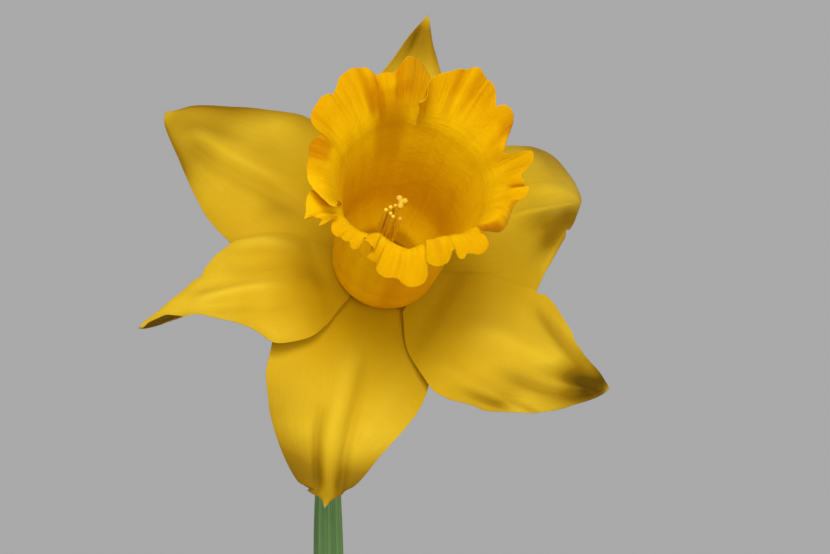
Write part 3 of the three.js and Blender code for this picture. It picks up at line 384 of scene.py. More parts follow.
# Folds down the mouth's inner face: azimuth, half width in degrees, depth, and where each starts between the
# throat and the margin
FOLDS = [
    (356.2, 0.8, 0.8, 0.45), (353, 1.6, -0.3, 0.4), (50, 2.5, 0.35, 0.5), (58, 2.6, 0.5, 0.2),
    (66, 2.4, 0.5, 0.15), (62, 1.8, -0.3, 0.2), (77, 3, 0.2, 0.1), (71, 2, -0.2, 0.1), (99, 2, 0.5, 0.3),
    (96, 1.6, 0.3, 0.5), (111, 2.2, 0.6, 0), (118, 2, 0.7, 0.1), (124, 1.8, 0.4, 0.2), (150, 2, 0.3, 0.3),
    (163, 1.6, 0.5, 0.4), (168, 1.4, 0.5, 0.5), (172, 1.4, 0.4, 0.5), (30, 3, 0.4, 0.2), (15, 3, 0.3, 0.3),
    (8, 2, 0.3, 0.3), (262, 2.4, 0.25, 0.4), (285, 3, 0.3, 0.2), (322, 3, 0.5, 0.1), (330, 1.8, 0.4, 0.5),
    (336, 1.6, 0.4, 0.5), (341, 2, 0.4, 0.3),
]
# Painted shade on the corona, and painted light where the amount is below 0: azimuth, half width in degrees,
# how much, and from and to where, as a share of the way from the throat to the margin, below 0 down to -1 at
# the cup's foot
CORONA_PAINTED_SHADE_AND_LIGHT = [
    (105, 14, 0.5, -0.35, 0.7), (86, 8, 0.12, -0.2, 0.3), (113, 4, 0.4, 0.2, 0.9), (94, 8, 0.45, 0.3, 1.2),
    (166, 8, 0.7, 0.35, 1.2), (326, 8, 0.7, 0.5, 1.2), (33, 5, 0.5, 0.55, 1.2), (356.2, 0.9, 0.5, 0.5, 1.2),
    (345, 3, 0.5, 0.7, 1.2), (283, 4, 0.15, 0.2, 0.8), (68, 62, 0.2, -0.15, 0.45),
    (310, 42, -0.25, -1.2, -0.1), (62, 26, 0.2, 0.5, 1.3), (200, 30, -1.0, -1.2, 0.2),
    (242, 18, -0.4, -1.2, 0.1), (78, 5, -0.4, 0.5, 1.2), (190, 6, -0.5, 0.4, 1.3),
    (206, 9, -0.45, 0.1, 1.3),
]

# Stamens and pistil. Each stamen's tip is a place in the camera's picture and a height along the bloom's axis.
# The anther and the filament under it are given as distance down from the tip and radius, and the filament's
# foot as height, distance out and radius. Turn is the first stamen's heading in degrees. The stigma's lobes are
# places in the picture.
STAMENS = {
    "tips": [
        (400, 218.8, 20.6), (395.3, 205.8, 21.4), (390.6, 207.3, 21.8), (385.9, 210, 21.4),
        (390.6, 213.4, 20.8), (393, 216.6, 20.6),
    ],
    "turn": 300, "anther": [(0.2, 0.18), (0.6, 0.32), (1.6, 0.38), (4, 0.4), (6.6, 0.36), (7.6, 0.26)],
    "filament": [(7.4, 0.28), (9, 0.3)], "foot": [(0, 2.4, 0.36), (-13, 3.1, 0.42)], "pollen": 0.37,
}
PISTIL = {
    "style": [(-24.2, 0.6), (0, 0.55), (8, 0.5), (16, 0.42)], "girth": 0.4, "lean": (-1.0, 0.2, 16),
    "lobes": [(399.2, 198.4), (404.6, 201.2), (400.4, 206.0)], "height": 25.1, "lobe_radius": 0.62,
}


def smoothstep(x, low, high):
    """0 below low, 1 above high, and a smooth rise between them."""
    t = np.clip((x - low) / (high - low), 0, 1)
    return t * t * (3 - 2 * t)


def plateau(x, low, first, last, high):
    """1 from first to last, 0 below low and above high, and smooth between them."""
    return smoothstep(x, low, first) * (1 - smoothstep(x, last, high))


def hill(away, width, power=2):
    """1 where away is 0, and next to nothing beyond two widths."""
    return np.exp(-((np.abs(away) / width) ** power))


def lerp(a, b, t):
    return a + (b - a) * t


def turns(count):
    """Evenly spaced angles round a full turn."""
    return np.linspace(0, math.tau, count, endpoint=False)


def apart(azimuth, place):
    """Degrees from a place to azimuths, the short way round."""
    return (azimuth - place + 180) % 360 - 180


def unit(vectors):
    return vectors / np.maximum(np.linalg.norm(vectors, axis=-1, keepdims=True), 1e-12)


def curve_through(points):
    """Smooth curve through (x, y) points that keeps their rises and falls, as a function of arrays."""
    xs, ys = (np.array(values, float) for values in zip(*points))
    step = np.diff(xs)
    slope = np.diff(ys) / step
    bend = np.zeros(len(xs))
    bend[0], bend[-1] = slope[0], slope[-1]
    for i in range(1, len(xs) - 1):
        if slope[i - 1] * slope[i] > 0:
            before, after = 2 * step[i] + step[i - 1], step[i] + 2 * step[i - 1]
            bend[i] = (before + after) / (before / slope[i - 1] + after / slope[i])

    def at(x):
        x = np.asarray(x, float)
        i = np.clip(np.searchsorted(xs, x, side="right") - 1, 0, len(step) - 1)
        t = np.clip((x - xs[i]) / step[i], 0, 1)
        u = 1 - t
        return (
            (1 + 2 * t) * u * u * ys[i] + t * u * u * step[i] * bend[i]
            + t * t * (3 - 2 * t) * ys[i + 1] - t * t * u * step[i] * bend[i + 1]
        )

    return at


def column(rows, k):
    return curve_through([(row[0], row[k]) for row in rows])


def around(rows, k):
    """Value k of rows of azimuth and values, as a smooth function of an azimuth that closes on itself."""
    return curve_through([(row[0] + turn, row[k]) for turn in (-360, 0, 360) for row in rows])


def wander(x, seed, octaves=4):
    """Smooth wandering value between about -1 and 1 along x, the same for the same seed."""
    chance = np.random.default_rng(seed)
    total = 0
    for k in range(octaves):
        total = total + np.sin(x * chance.uniform(0.7, 1.4) * 1.9**k + chance.uniform(0, math.tau)) / 1.5**k
    return total / 2.2


def smooth_path(points, steps, pieces=60):
    """Points along a centripetal Catmull-Rom curve through some points, evenly spaced along it. Pieces is how
    finely the curve is walked between two points."""
    points = np.array(points, float)
    points = np.concatenate([[2 * points[0] - points[1]], points, [2 * points[-1] - points[-2]]])
    t = np.linspace(0, 1, pieces, endpoint=False)[:, None]
    walked = []
    for a, b, c, d in zip(points, points[1:], points[2:], points[3:]):
        ab, bc, cd = (max(np.linalg.norm(q - p) ** 0.5, 1e-4) for p, q in ((a, b), (b, c), (c, d)))
        out = ((b - a) / ab - (c - a) / (ab + bc) + (c - b) / bc) * bc
        into = ((c - b) / bc - (d - b) / (bc + cd) + (d - c) / cd) * bc
        walked.append(b + out * t + (3 * (c - b) - 2 * out - into) * t**2 + (2 * (b - c) + out + into) * t**3)
    walked = np.concatenate([*walked, points[-2:-1]])
    length = np.concatenate([[0], np.cumsum(np.linalg.norm(np.diff(walked, axis=0), axis=1))])
    even = np.linspace(0, length[-1], steps + 1)
    return np.stack([np.interp(even, length, walked[:, k]) for k in range(points.shape[1])], -1)


# Turns from the camera's and from the bloom's own axes to the part's. The bloom's axis is +Z of its own axes.
VIEWER = Matrix.Rotation(math.radians(90 - BLOOM["viewer_above"]), 3, "X")
VIEWER_TURN = np.array(VIEWER)
AWAY, TOWARDS = math.radians(BLOOM["tip_away"]), math.radians(BLOOM["tip_towards"])
TIP = Vector((math.sin(AWAY) * math.cos(TOWARDS), math.sin(AWAY) * math.sin(TOWARDS), math.cos(AWAY)))
BLOOM_TURN = np.array(VIEWER @ Vector((0, 0, 1)).rotation_difference(TIP).to_matrix())
Z = np.array([0, 0, 1.0])


def in_part(points):
    """Points of the bloom's axes in the part's axes."""
    return np.asarray(points, float) @ BLOOM_TURN.T + np.array(BLOOM["centre"])


def seen(places, height):
    """Points of the bloom's axes that the camera sees at some places of its picture. Height tells how far along
    the axis the looked-at surface lies at some x and y, and the points settle on it step by step."""
    places = np.asarray(places, float)
    wide, high = CAMERA["picture"]
    across, down = places[..., 0] - wide / 2, places[..., 1] - high / 2
    distance = CAMERA["lens"] / CAMERA["sensor"] * wide
    rays = np.stack([across / distance, -down / distance, -np.ones(across.shape)], -1)
    rays, eye = (view @ VIEWER_TURN.T @ BLOOM_TURN for view in (rays, np.array(CAMERA["offset"])))
    points = eye + rays * (-eye[2] / rays[..., 2])[..., None]
    for _ in range(12):
        level = height(points[..., 0], points[..., 1])
        points = eye + rays * ((level - eye[2]) / rays[..., 2])[..., None]
    return points


def upright(radius, turn, z, x=0, y=0):
    """Points round an upright line at x, y, from their radii, angles and heights."""
    return np.stack(np.broadcast_arrays(x + radius * np.cos(turn), y + radius * np.sin(turn), z), -1)


def finished(name, mesh, finish, *nodes, slot=None):
    """Puts a mesh in the scene as a piece that rides on the part and stands for these CAD nodes. Its slot
    argument is not used."""
    mesh.materials.clear()
    mesh.materials.append(FINISHES[finish])
    mesh.shade_smooth()
    piece = bpy.data.objects.new(name, mesh)
    bpy.context.scene.collection.objects.link(piece)
    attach(piece, "root")
    slot or finish
    if nodes:
        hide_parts(*nodes)


def faces_of(*corners):
    """Faces from arrays of their first corners, second corners and so on."""
    return np.stack(np.broadcast_arrays(*corners), -1).reshape(-1, len(corners))


def grid_faces(rows, columns, ring):
    """Faces of a grid, row by row, anticlockwise where rows run up and columns to the right."""
    low = (np.arange(rows - 1) * columns)[:, None]
    first = np.arange(columns if ring else columns - 1)
    after = (first + 1) % columns
    return faces_of(low + first, low + after, low + columns + after, low + columns + first)


def blade_mesh(name, points, faces, u, v):
    """Mesh of points in millimetres and faces, with a UV map named blade that is given corner by corner. Where
    a face crosses the seam of a ring, u runs on past 1."""
    mesh = bpy.data.meshes.new(name)
    mesh.from_pydata((points * MM).tolist(), [], faces)
    sizes = np.array([len(face) for face in faces])
    starts = np.cumsum(sizes) - sizes
    crosses = np.maximum.reduceat(u, starts) - np.minimum.reduceat(u, starts) > 0.5
    u = np.where(np.repeat(crosses, sizes) & (u < 0.5), u + 1, u)
    layer = mesh.uv_layers.new(name="blade")
    layer.data.foreach_set("uv", np.stack([u, v], -1).reshape(-1).astype(np.float32))
    return mesh


def body_between(name, front, back, ring=False):
    """Closed mesh between two grids of points, given as rows, columns and x, y, z in millimetres. In its UV map
    u runs over the columns from 0 to 1 and v over the rows. Ring closes the columns on themselves."""
    rows, columns = front.shape[:2]
    other = rows * columns
    outer = grid_faces(rows, columns, ring)
    first = np.arange(columns if ring else columns - 1)
    after = (first + 1) % columns
    last = (rows - 1) * columns
    rims = [
        faces_of(first, first + other, after + other, after),
        faces_of(last + first, last + after, last + after + other, last + first + other),
    ]
    if not ring:
        low = np.arange(rows - 1) * columns
        high = low + columns
        edge = columns - 1
        rims.append(faces_of(low, high, high + other, low + other))
        rims.append(faces_of(low + edge, low + edge + other, high + edge + other, high + edge))
    faces = np.concatenate([outer, outer[:, ::-1] + other, *rims])
    place = faces.reshape(-1) % other
    points = np.concatenate([front.reshape(-1, 3), back.reshape(-1, 3)])
    u, v = (place % columns) / len(first), (place // columns) / (rows - 1)
    return blade_mesh(name, points, faces.tolist(), u, v)


def body_through(name, rings):
    """Closed mesh through rings of points, given as rings, points and x, y, z in millimetres, each ring
    anticlockwise as seen from its far end. Its ends close on their middle points. Its UV map is that of a
    body_between."""
    rows, columns = rings.shape[:2]
    foot, top = rows * columns, rows * columns + 1
    first = np.arange(columns)
    after = (first + 1) % columns
    last = (rows - 1) * columns
    ends = [faces_of(after, first, foot), faces_of(last + first, last + after, top)]
    faces = grid_faces(rows, columns, True).tolist() + ends[0].tolist() + ends[1].tolist()
    corner = np.array([vertex for face in faces for vertex in face])
    v = np.where(corner == foot, 0, np.minimum((corner // columns) / (rows - 1), 1))
    points = np.concatenate([rings.reshape(-1, 3), [rings[0].mean(axis=0), rings[-1].mean(axis=0)]])
    return blade_mesh(name, points, faces, (corner % columns) / columns, v)


def face_normals(surface, ring=False):
    """Normals at the points of a grid, out of the side that its rows and columns run anticlockwise round."""
    along = np.gradient(surface, axis=0)
    if ring:
        across = (np.roll(surface, -1, axis=1) - np.roll(surface, 1, axis=1)) / 2
    else:
        across = np.gradient(surface, axis=1)
    return unit(np.cross(across, along))


def tagged(mesh, label, values, kind="FLOAT", field="value"):
    """Gives a mesh an attribute, with a value or a vector for each point."""
    data = mesh.attributes.new(label, kind, "POINT").data
    data.foreach_set(field, np.asarray(values).reshape(-1).astype(np.float32))


def polyline(name, points, girth=()):
    """Mesh of bare edges through some points in millimetres, with the attribute girth if it is given."""
    mesh = bpy.data.meshes.new(name)
    edges = [(k, k + 1) for k in range(len(points) - 1)]
    mesh.from_pydata([tuple(MM * value for value in point) for point in points], edges, [])
    if girth:
        tagged(mesh, "girth", np.array(girth) * MM)
    return mesh


def joined(name, meshes):
    """One mesh of several, with their UV maps."""
    whole = bmesh.new()
    for mesh in meshes:
        whole.from_mesh(mesh)
    made = bpy.data.meshes.new(name)
    whole.to_mesh(made)
    whole.free()
    return made


class Wire:
    """A socket of a node tree. Arithmetic on it adds Math nodes to the tree."""

    def __init__(self, tree, socket):
        self.tree = tree
        self.socket = socket

    def math(self, operation, *others):
        return self.tree.node("ShaderNodeMath", self, *others, operation=operation)

    def __add__(self, other):
        return self.math("ADD", other)

    __radd__ = __add__

    def __sub__(self, other):
        return self.math("SUBTRACT", other)

    def __rsub__(self, other):
        return self.tree.node("ShaderNodeMath", other, self, operation="SUBTRACT")

    def __mul__(self, other):
        return self.math("MULTIPLY", other)

    __rmul__ = __mul__

    def __neg__(self):
        return self.math("MULTIPLY", -1)

    def between(self, low, high, rise="SMOOTHSTEP"):
        """0 where it is below low, 1 above high, and a smooth rise between them."""
        return self.tree.node("ShaderNodeMapRange", self, low, high, interpolation_type=rise)

    def share(self, low, high):
        """0 where it is below low, 1 above high, and a straight rise between them."""
        return self.between(low, high, "LINEAR")

    def bump(self, place, width):
        """A smooth bump of height 1 where it is near a place."""
        return 1 - (self - place).math("ABSOLUTE").between(0, width)


class Tree:
    """A node tree that is built from Python."""

    def __init__(self, tree):
        self.tree = tree

    def node(self, kind, *first, output=0, at=None, **named):
        """Adds a node and returns one output. Lower-case names are its settings, the others sockets, with _ for
        a space. First fills the first sockets, at gives sockets by number, and None leaves a socket alone."""
        made = self.tree.nodes.new(kind)
        sockets = {**dict(enumerate(first)), **(at or {})}
        for name, value in named.items():
            if name[0].islower():
                setattr(made, name, value)
            else:
                sockets[name.replace("_", " ")] = value
        for key, value in sockets.items():
            if isinstance(value, Wire):
                self.tree.links.new(value.socket, made.inputs[key])
            elif value is not None:
                made.inputs[key].default_value = value
        return Wire(self, made.outputs[output])

    def point(self, x, y, z=0.0):
        return self.node("ShaderNodeCombineXYZ", x, y, z)

    def parts(self, vector):
        """The x, y and z of a vector, as wires."""
        return [Wire(self, part) for part in self.node("ShaderNodeSeparateXYZ", vector).socket.node.outputs]


class Recipe(Tree):
    """A Geometry Nodes tree with named inputs. It grows a plain mesh out of a profile, a path or a surface."""

    def __init__(self, name, inputs):
        group = bpy.data.node_groups.new(name, "GeometryNodeTree")
        super().__init__(group)
        for way in ("INPUT", "OUTPUT"):
            group.interface.new_socket("Geometry", in_out=way, socket_type="NodeSocketGeometry")
        self.keys = {}
        for label, value in inputs.items():
            kind = "NodeSocketInt" if isinstance(value, int) else "NodeSocketFloat"
            socket = group.interface.new_socket(label, in_out="INPUT", socket_type=kind)
            socket.default_value = value
            self.keys[label] = socket.identifier
        self.start = group.nodes.new("NodeGroupInput")

    def given(self, label):
        """The wire of a named input."""
        return Wire(self, self.start.outputs[label])

    def done(self, geometry, material):
        realized = self.node("GeometryNodeRealizeInstances", Geometry=geometry)
        painted = self.node("GeometryNodeSetMaterial", Geometry=realized, Material=material)
        end = self.tree.nodes.new("NodeGroupOutput")
        self.tree.links.new(painted.socket, end.inputs["Geometry"])
        return self

    def grow(self, name, source, values):
        """The mesh that the tree makes of a source mesh, with some inputs' values by name."""
        host = bpy.data.objects.new(name, source)
        bpy.context.scene.collection.objects.link(host)
        step = host.modifiers.new(name, "NODES")
        step.node_group = self.tree
        for label, value in values.items():
            step[self.keys[label]] = value
        bpy.context.view_layer.update()
        depsgraph = bpy.context.evaluated_depsgraph_get()
        whole = host.evaluated_get(depsgraph)
        grown = bpy.data.meshes.new_from_object(whole, preserve_all_data_layers=True, depsgraph=depsgraph)
        host.modifiers.remove(step)
        bpy.data.objects.remove(host)
        grown.name = name
        return grown


def turning_recipe(material):
    """Solid of revolution: a profile in the XZ plane, its corners rounded, turned about Z, its poles closed."""
    recipe = Recipe("turned", {
        "Corner radius": 0.001, "Corner steps": 6, "Sides": 96, "Steps": 400, "Weld distance": 0.000002})
    given, node = recipe.given, recipe.node
    rounded = node(
        "GeometryNodeFilletCurve", mode="POLY", Curve=node("GeometryNodeMeshToCurve", Mesh=given("Geometry")),
        Count=given("Corner steps"), Radius=given("Corner radius"), Limit_Radius=True)
    sheet = node(
        "GeometryNodeMeshGrid", Vertices_X=given("Steps") + 1, Vertices_Y=given("Sides") + 1, Size_X=1.0,
        Size_Y=1.0)
    x, y, _ = recipe.parts(node("GeometryNodeInputPosition"))
    turn = (y + 0.5) * -math.tau
    spot = node(
        "GeometryNodeSampleCurve", mode="FACTOR", use_all_curves=True, Curves=rounded, Factor=x + 0.5,
        output="Position")
    radius, _, height = recipe.parts(spot)
    swung = recipe.point(radius * turn.math("COSINE"), radius * turn.math("SINE"), height)
    placed = node("GeometryNodeSetPosition", Geometry=sheet, Position=swung)
    closed = node("GeometryNodeMergeByDistance", Geometry=placed, Distance=given("Weld distance"))
    return recipe.done(closed, material)


def drilling_recipe(material):
    """Holes through a turned piece, straight along Z, evenly round a ring."""
    recipe = Recipe("drilled", {
        "Holes": 3, "Hole radius": 0.005, "Hole sides": 48, "Ring radius": 0.022, "Depth": 0.04})
    given, node = recipe.given, recipe.node
    spots = node("GeometryNodeMeshCircle", Vertices=given("Holes"), Radius=given("Ring radius"))
    bore = node(
        "GeometryNodeMeshCylinder", Vertices=given("Hole sides"), Radius=given("Hole radius"),
        Depth=given("Depth"))
    bores = node("GeometryNodeInstanceOnPoints", Points=spots, Instance=bore)
    turned = node("GeometryNodeTransform", Geometry=bores, Rotation=(0, 0, math.pi / 2))
    cutters = node("GeometryNodeRealizeInstances", Geometry=turned)
    cut = node("GeometryNodeMeshBoolean", operation="DIFFERENCE", Mesh_1=given("Geometry"), Mesh_2=cutters)
    return recipe.done(cut, material)


def strewing_recipe(material):
    """Crumbs strewn over a surface: rough lumps of random size and turn, a little sunk in."""
    recipe = Recipe("strewn", {
        "Spacing": 0.0012, "Density": 200000.0, "Smallest": 0.0004, "Largest": 0.0016, "Flatness": 0.7,
        "Roundness": 2, "Coarseness": 1.7, "Seed": 1})
    given, node = recipe.given, recipe.node
    spots = node(
        "GeometryNodeDistributePointsOnFaces", distribute_method="POISSON", Mesh=given("Geometry"),
        Distance_Min=given("Spacing"), Density_Max=given("Density"), Seed=given("Seed"))
    lump = node("GeometryNodeMeshIcoSphere", Radius=1.0, Subdivisions=given("Roundness"))
    uneven = node(
        "ShaderNodeTexNoise", Vector=node("GeometryNodeInputPosition"), Scale=given("Coarseness"), Detail=1.0,
        output="Color")
    offset = node("ShaderNodeVectorMath", uneven, (0.5, 0.5, 0.5), operation="SUBTRACT")
    rough = node("GeometryNodeSetPosition", Geometry=lump, Offset=offset)
    turn = node(
        "FunctionNodeRandomValue", data_type="FLOAT_VECTOR", Min=(0, 0, 0), Max=(math.tau, math.tau, math.tau),
        Seed=given("Seed"))
    size = node(
        "FunctionNodeRandomValue", data_type="FLOAT", at={2: given("Smallest"), 3: given("Largest")},
        Seed=given("Seed") + 7, output=1)
    scale = recipe.point(size, size, size * given("Flatness"))
    crumbs = node("GeometryNodeInstanceOnPoints", Points=spots, Instance=rough, Rotation=turn, Scale=scale)
    return recipe.done(crumbs, material)


def sweeping_recipe(material):
    """Round rod along a path, closed at its ends, as thick at each point as the path's attribute girth."""
    recipe = Recipe("swept", {"Sides": 20, "Steps": 60})
    given, node = recipe.given, recipe.node
    path = node("GeometryNodeMeshToCurve", Mesh=given("Geometry"))
    smooth = node("GeometryNodeResampleCurve", Curve=path, Count=given("Steps"))
    girth = node("GeometryNodeInputNamedAttribute", data_type="FLOAT", Name="girth")
    thick = node("GeometryNodeSetCurveRadius", Curve=smooth, Radius=1.0)
    ring = node("GeometryNodeCurvePrimitiveCircle", Resolution=given("Sides"), Radius=1.0)
    rod = node("GeometryNodeCurveToMesh", Curve=thick, Profile_Curve=ring, Scale=girth, Fill_Caps=True)
    return recipe.done(rod, material)


class Finish(Tree):
    """A procedural material. Patterns read Object coordinates, or the piece's own UV map named blade."""

    def __init__(self, name):
        self.material = bpy.data.materials.new(name)
        self.material.use_nodes = True
        super().__init__(self.material.node_tree)
        self.tree.nodes.clear()
        self.place = self.node("ShaderNodeTexCoord", output="Object")

    def blade(self):
        """Share of the way across and along the piece, as two wires."""
        return self.parts(self.node("ShaderNodeUVMap", uv_map="blade"))[:2]

    def tone(self):
        """The mesh's own value of painted shade, with painted highlight where it is below 0."""
        return self.node("ShaderNodeAttribute", attribute_name="tone", output="Fac")

    def noise(self, where, scale, detail=3.0, roughness=0.5, distortion=0.0):
        """Noise at a vector, or at the point of two or three values."""
        vector = self.point(*where) if isinstance(where, tuple) else where
        return self.node(
            "ShaderNodeTexNoise", Vector=vector, Scale=scale, Detail=detail, Roughness=roughness,
            Distortion=distortion)

    def coats(self, colour, **coats):
        """A colour under coats, the last one on top. Each coat has its name, its share and its colour."""
        for share, coat in coats.values():
            below = colour if isinstance(colour, Wire) else (*colour, 1)
            mixed = {0: share, 6: below, 7: (*coat, 1)}
            colour = self.node("ShaderNodeMix", data_type="RGBA", at=mixed, output=2)
        return colour

    def bump(self, height, strength, distance, below=None):
        return self.node("ShaderNodeBump", Height=height, Strength=strength, Distance=distance, Normal=below)

    def done(self, colour, roughness, normal=None, specular=0.5, tint=None, through=None, glow=0):
        """The material. Through a thin piece comes light of a colour from behind, and glow is its share."""
        surface = self.node(
            "ShaderNodeBsdfPrincipled", Base_Color=colour, Roughness=roughness, Normal=normal,
            Specular_IOR_Level=specular, Specular_Tint=tint)
        if through:
            behind = self.node("ShaderNodeBsdfTranslucent", Color=(*through, 1), Normal=normal)
            surface = self.node("ShaderNodeMixShader", glow, surface, behind)
        output = self.tree.nodes.new("ShaderNodeOutputMaterial")
        self.tree.links.new(surface.socket, output.inputs["Surface"])
        return self.material


def tepal_finish():
    """Satin skin of a tepal, with fine veins along it, and lit through from behind."""
    skin = Finish("tepal_skin")
    across, along = skin.blade()
    veins = across * 60.0
    streak = skin.noise((veins, along * 3.0), 1.0, 4.0, 0.6, 0.4)
    fine = skin.noise((veins * 3.1, along * 7.0, 2.0), 1.0, 3.0, 0.6)
    blotch = skin.noise(skin.place, 75.0)
    grain = skin.noise(skin.place, 900.0, 2.0)
    tone = skin.tone()
    colour = skin.coats(
        (0.64, 0.44, 0.020),
        mottling=(blotch.between(0.35, 0.7), (0.58, 0.38, 0.012)),
        veins=(streak.between(0.5, 0.75) * 0.22 + fine.between(0.55, 0.75) * 0.12, (0.50, 0.31, 0.006)),
        # Deeper golden towards the root: partly the tepal's own colour, partly painted shade and painted
        # reflection from the corona
        root=((1 - along.between(0.0, 0.55)) * 0.85, (0.58, 0.33, 0.001)),
        # Painted shade in hollows, creases, margins and curled-back parts, and painted highlight on ridges
        hollows=((tone + (streak - 0.5) * 0.2).share(0.05, 1.15), (0.27, 0.148, 0.002)),
        deepest_hollows=(tone.share(1.05, 2.0), (0.08, 0.042, 0.001)),
        ridges=((-tone).share(0.0, 1.0), (0.76, 0.54, 0.030)),
        tip=(along.between(0.86, 0.94), (0.36, 0.28, 0.10)),
    )
    normal = skin.bump(streak * 0.6 + fine * 0.25 + grain * 0.1, 0.22, 0.0005)
    return skin.done(
        colour, 0.46 + grain * 0.1, normal, 0.3, tint=(1.0, 0.72, 0.1, 1),
        through=(0.66, 0.43, 0.010), glow=0.28)


def corona_finish():
    """Skin of the corona: golden, with fine veins that cross its cup and soft streaks along its mouth."""
    skin = Finish("corona_skin")
    round_it, along = skin.blade()
    turn = round_it * math.tau
    x, y = turn.math("COSINE"), turn.math("SINE")
    cup_x, cup_y, _ = skin.parts(skin.node("ShaderNodeAttribute", attribute_name="heading", output="Vector"))
    crossing = skin.noise((cup_x * 3.2, cup_y * 3.2, along * 48.0), 1.0, 4.0, 0.6, 1.4)
    rib = skin.noise((cup_x * 7.0, cup_y * 7.0, along * 1.6), 1.0, 3.0, 0.6, 0.4)
    streak = skin.noise((x * 26.0, y * 26.0, along * 1.5), 1.0, 3.0, 0.6, 0.3)
    broad = skin.noise((x * 8.0, y * 8.0, along * 3.5), 1.0, 3.0, 0.6, 0.5)
    fine = skin.noise((x * 90.0, y * 90.0, along * 6.0), 1.0, 2.0, 0.6)
    cloud = skin.noise(skin.place, 170.0, 3.0, 0.6)
    crinkle = skin.noise(skin.place, 520.0, 4.0, 0.6, 0.8)
    tone = skin.tone()
    mouth = along.between(0.42, 0.8)
    cup = 1 - mouth
    colour = skin.coats(
        (0.98, 0.66, 0.003),
        mouth=(mouth, (0.72, 0.415, 0.001)),
        streaks=(streak.between(0.48, 0.72) * mouth * 0.32, (0.72, 0.34, 0.001)),
        crossing_veins=(crossing.between(0.5, 0.66) * cup * 0.3, (0.86, 0.50, 0.002)),
        ribs=(rib.between(0.42, 0.68) * cup * 0.35, (0.86, 0.49, 0.002)),
        broad_streaks=(broad.between(0.42, 0.7) * mouth * 0.5, (0.74, 0.38, 0.001)),
        clouds=(cloud.between(0.45, 0.75) * 0.4, (0.79, 0.48, 0.002)),
        # Painted shade in folds, recesses and on the outer face, and painted light on lighter patches and
        # ridges
        hollows=((tone + (streak - 0.5) * 0.4 * mouth).between(0.0, 1.0) * 0.9, (0.47, 0.19, 0.001)),
        ridges=((-tone).share(0.0, 1.0), (1.0, 0.66, 0.003)),
        margin=(along.between(0.982, 1.0) * 0.25, (0.90, 0.60, 0.03)),
    )
    height = (streak * 0.5 + fine * 0.25 + crinkle * 0.5) * mouth + (crossing * 0.5 + rib * 0.5) * cup
    return skin.done(
        colour, 0.52 + fine * 0.12, skin.bump(height, 0.55, 0.0006), 0.15, tint=(1.0, 0.62, 0.03, 1),
        through=(0.92, 0.58, 0.002), glow=0.42)


def leaf_finish(name, light, deep, grey):
    """Skin of a leaf: fine parallel ribs under a greyish bloom."""
    skin = Finish(name)
    across, along = skin.blade()
    rib = skin.noise((across * 26.0, along * 2.0), 1.0)
    ridge = (across * (math.tau * 16)).math("SINE")
    blotch = skin.noise(skin.place, 60.0, 4.0)
    colour = skin.coats(
        deep,
        ribs=(rib.between(0.38, 0.66), light),
        greyish_bloom=(blotch.between(0.4, 0.75) * 0.5, grey),
        dry_tip=(along.between(0.975, 1.0) * 0.7, (0.55, 0.45, 0.16)),
    )
    normal = skin.bump(ridge * 0.3 + rib * 0.7, 0.5, 0.0006)
    return skin.done(colour, 0.46 + blotch * 0.15, normal, 0.4, through=light, glow=0.18)


def clay_finish():
    """Fired clay: cloudy and gritty, with faint turning rings and a pale bloom of salt near its foot."""
    skin = Finish("fired_clay")
    cloud = skin.noise(skin.place, 22.0, 5.0, 0.6)
    grit = skin.noise(skin.place, 1400.0, 3.0, 0.7)
    height = skin.parts(skin.place)[2]
    rings = skin.noise((0.0, 0.0, height), 420.0, 2.0)
    salt = skin.noise(skin.place, 48.0, 6.0, 0.7, 0.6)
    colour = skin.coats(
        (0.50, 0.205, 0.105),
        clouds=(cloud.between(0.35, 0.7), (0.62, 0.29, 0.16)),
        grit=(grit.between(0.55, 0.75) * 0.5, (0.30, 0.12, 0.065)),
        salt=(salt.between(0.58, 0.78) * height.bump(0.02, 0.035) * 0.6, (0.70, 0.62, 0.52)),
    )
    normal = skin.bump(grit, 0.3, 0.0003, skin.bump(rings, 0.35, 0.0005))
    return skin.done(colour, 0.86 + grit * 0.1, normal, 0.25)


def compost_finish(name, dark, light):
    """Crumbly earth or stone, with darker blotches."""
    skin = Finish(name)
    crumb = skin.noise(skin.place, 420.0, 5.0, 0.65)
    blotch = skin.noise(skin.place, 70.0)
    colour = skin.coats(
        dark,
        crumbs=(crumb.between(0.35, 0.7), light),
        blotches=(blotch.between(0.45, 0.7) * 0.5, (0.02, 0.012, 0.007)),
    )
    return skin.done(colour, 0.95, skin.bump(crumb, 0.8, 0.0012), 0.15)


def papery_finish(name, dark, light, ribs, glow):
    """Thin dry skin with ribs along it, as on the bulb and the spathe."""
    skin = Finish(name)
    across, along = skin.blade()
    rib = skin.noise((across * ribs, along * 2.5), 1.0, 4.0, 0.6, 0.3)
    stain = skin.noise(skin.place, 110.0, 4.0, 0.6)
    colour = skin.coats(
        dark,
        ribs=(rib.between(0.35, 0.68), light),
        stains=(stain.between(0.5, 0.75) * 0.5, [0.4 * value for value in dark]),
    )
    normal = skin.bump(rib + stain * 0.3, 0.6, 0.0008)
    return skin.done(colour, 0.55 + rib * 0.2, normal, 0.35, through=light, glow=glow * (1 - stain * 0.4))


def tube_finish():
    """Skin of the floral tube: green at the ovary, yellow where the tepals spread."""
    skin = Finish("floral_tube_skin")
    across, along = skin.blade()
    rib = skin.noise((across * 40.0, along * 3.0), 1.0, 3.0, 0.6)
    colour = skin.coats(
        (0.30, 0.40, 0.05),
        yellowing=(along.between(0.1, 0.6), (0.60, 0.42, 0.02)),
        ribs=(rib.between(0.45, 0.7) * 0.4, (0.42, 0.38, 0.03)),
    )
    return skin.done(colour, 0.45 + rib * 0.1, skin.bump(rib, 0.4, 0.0004), 0.3)


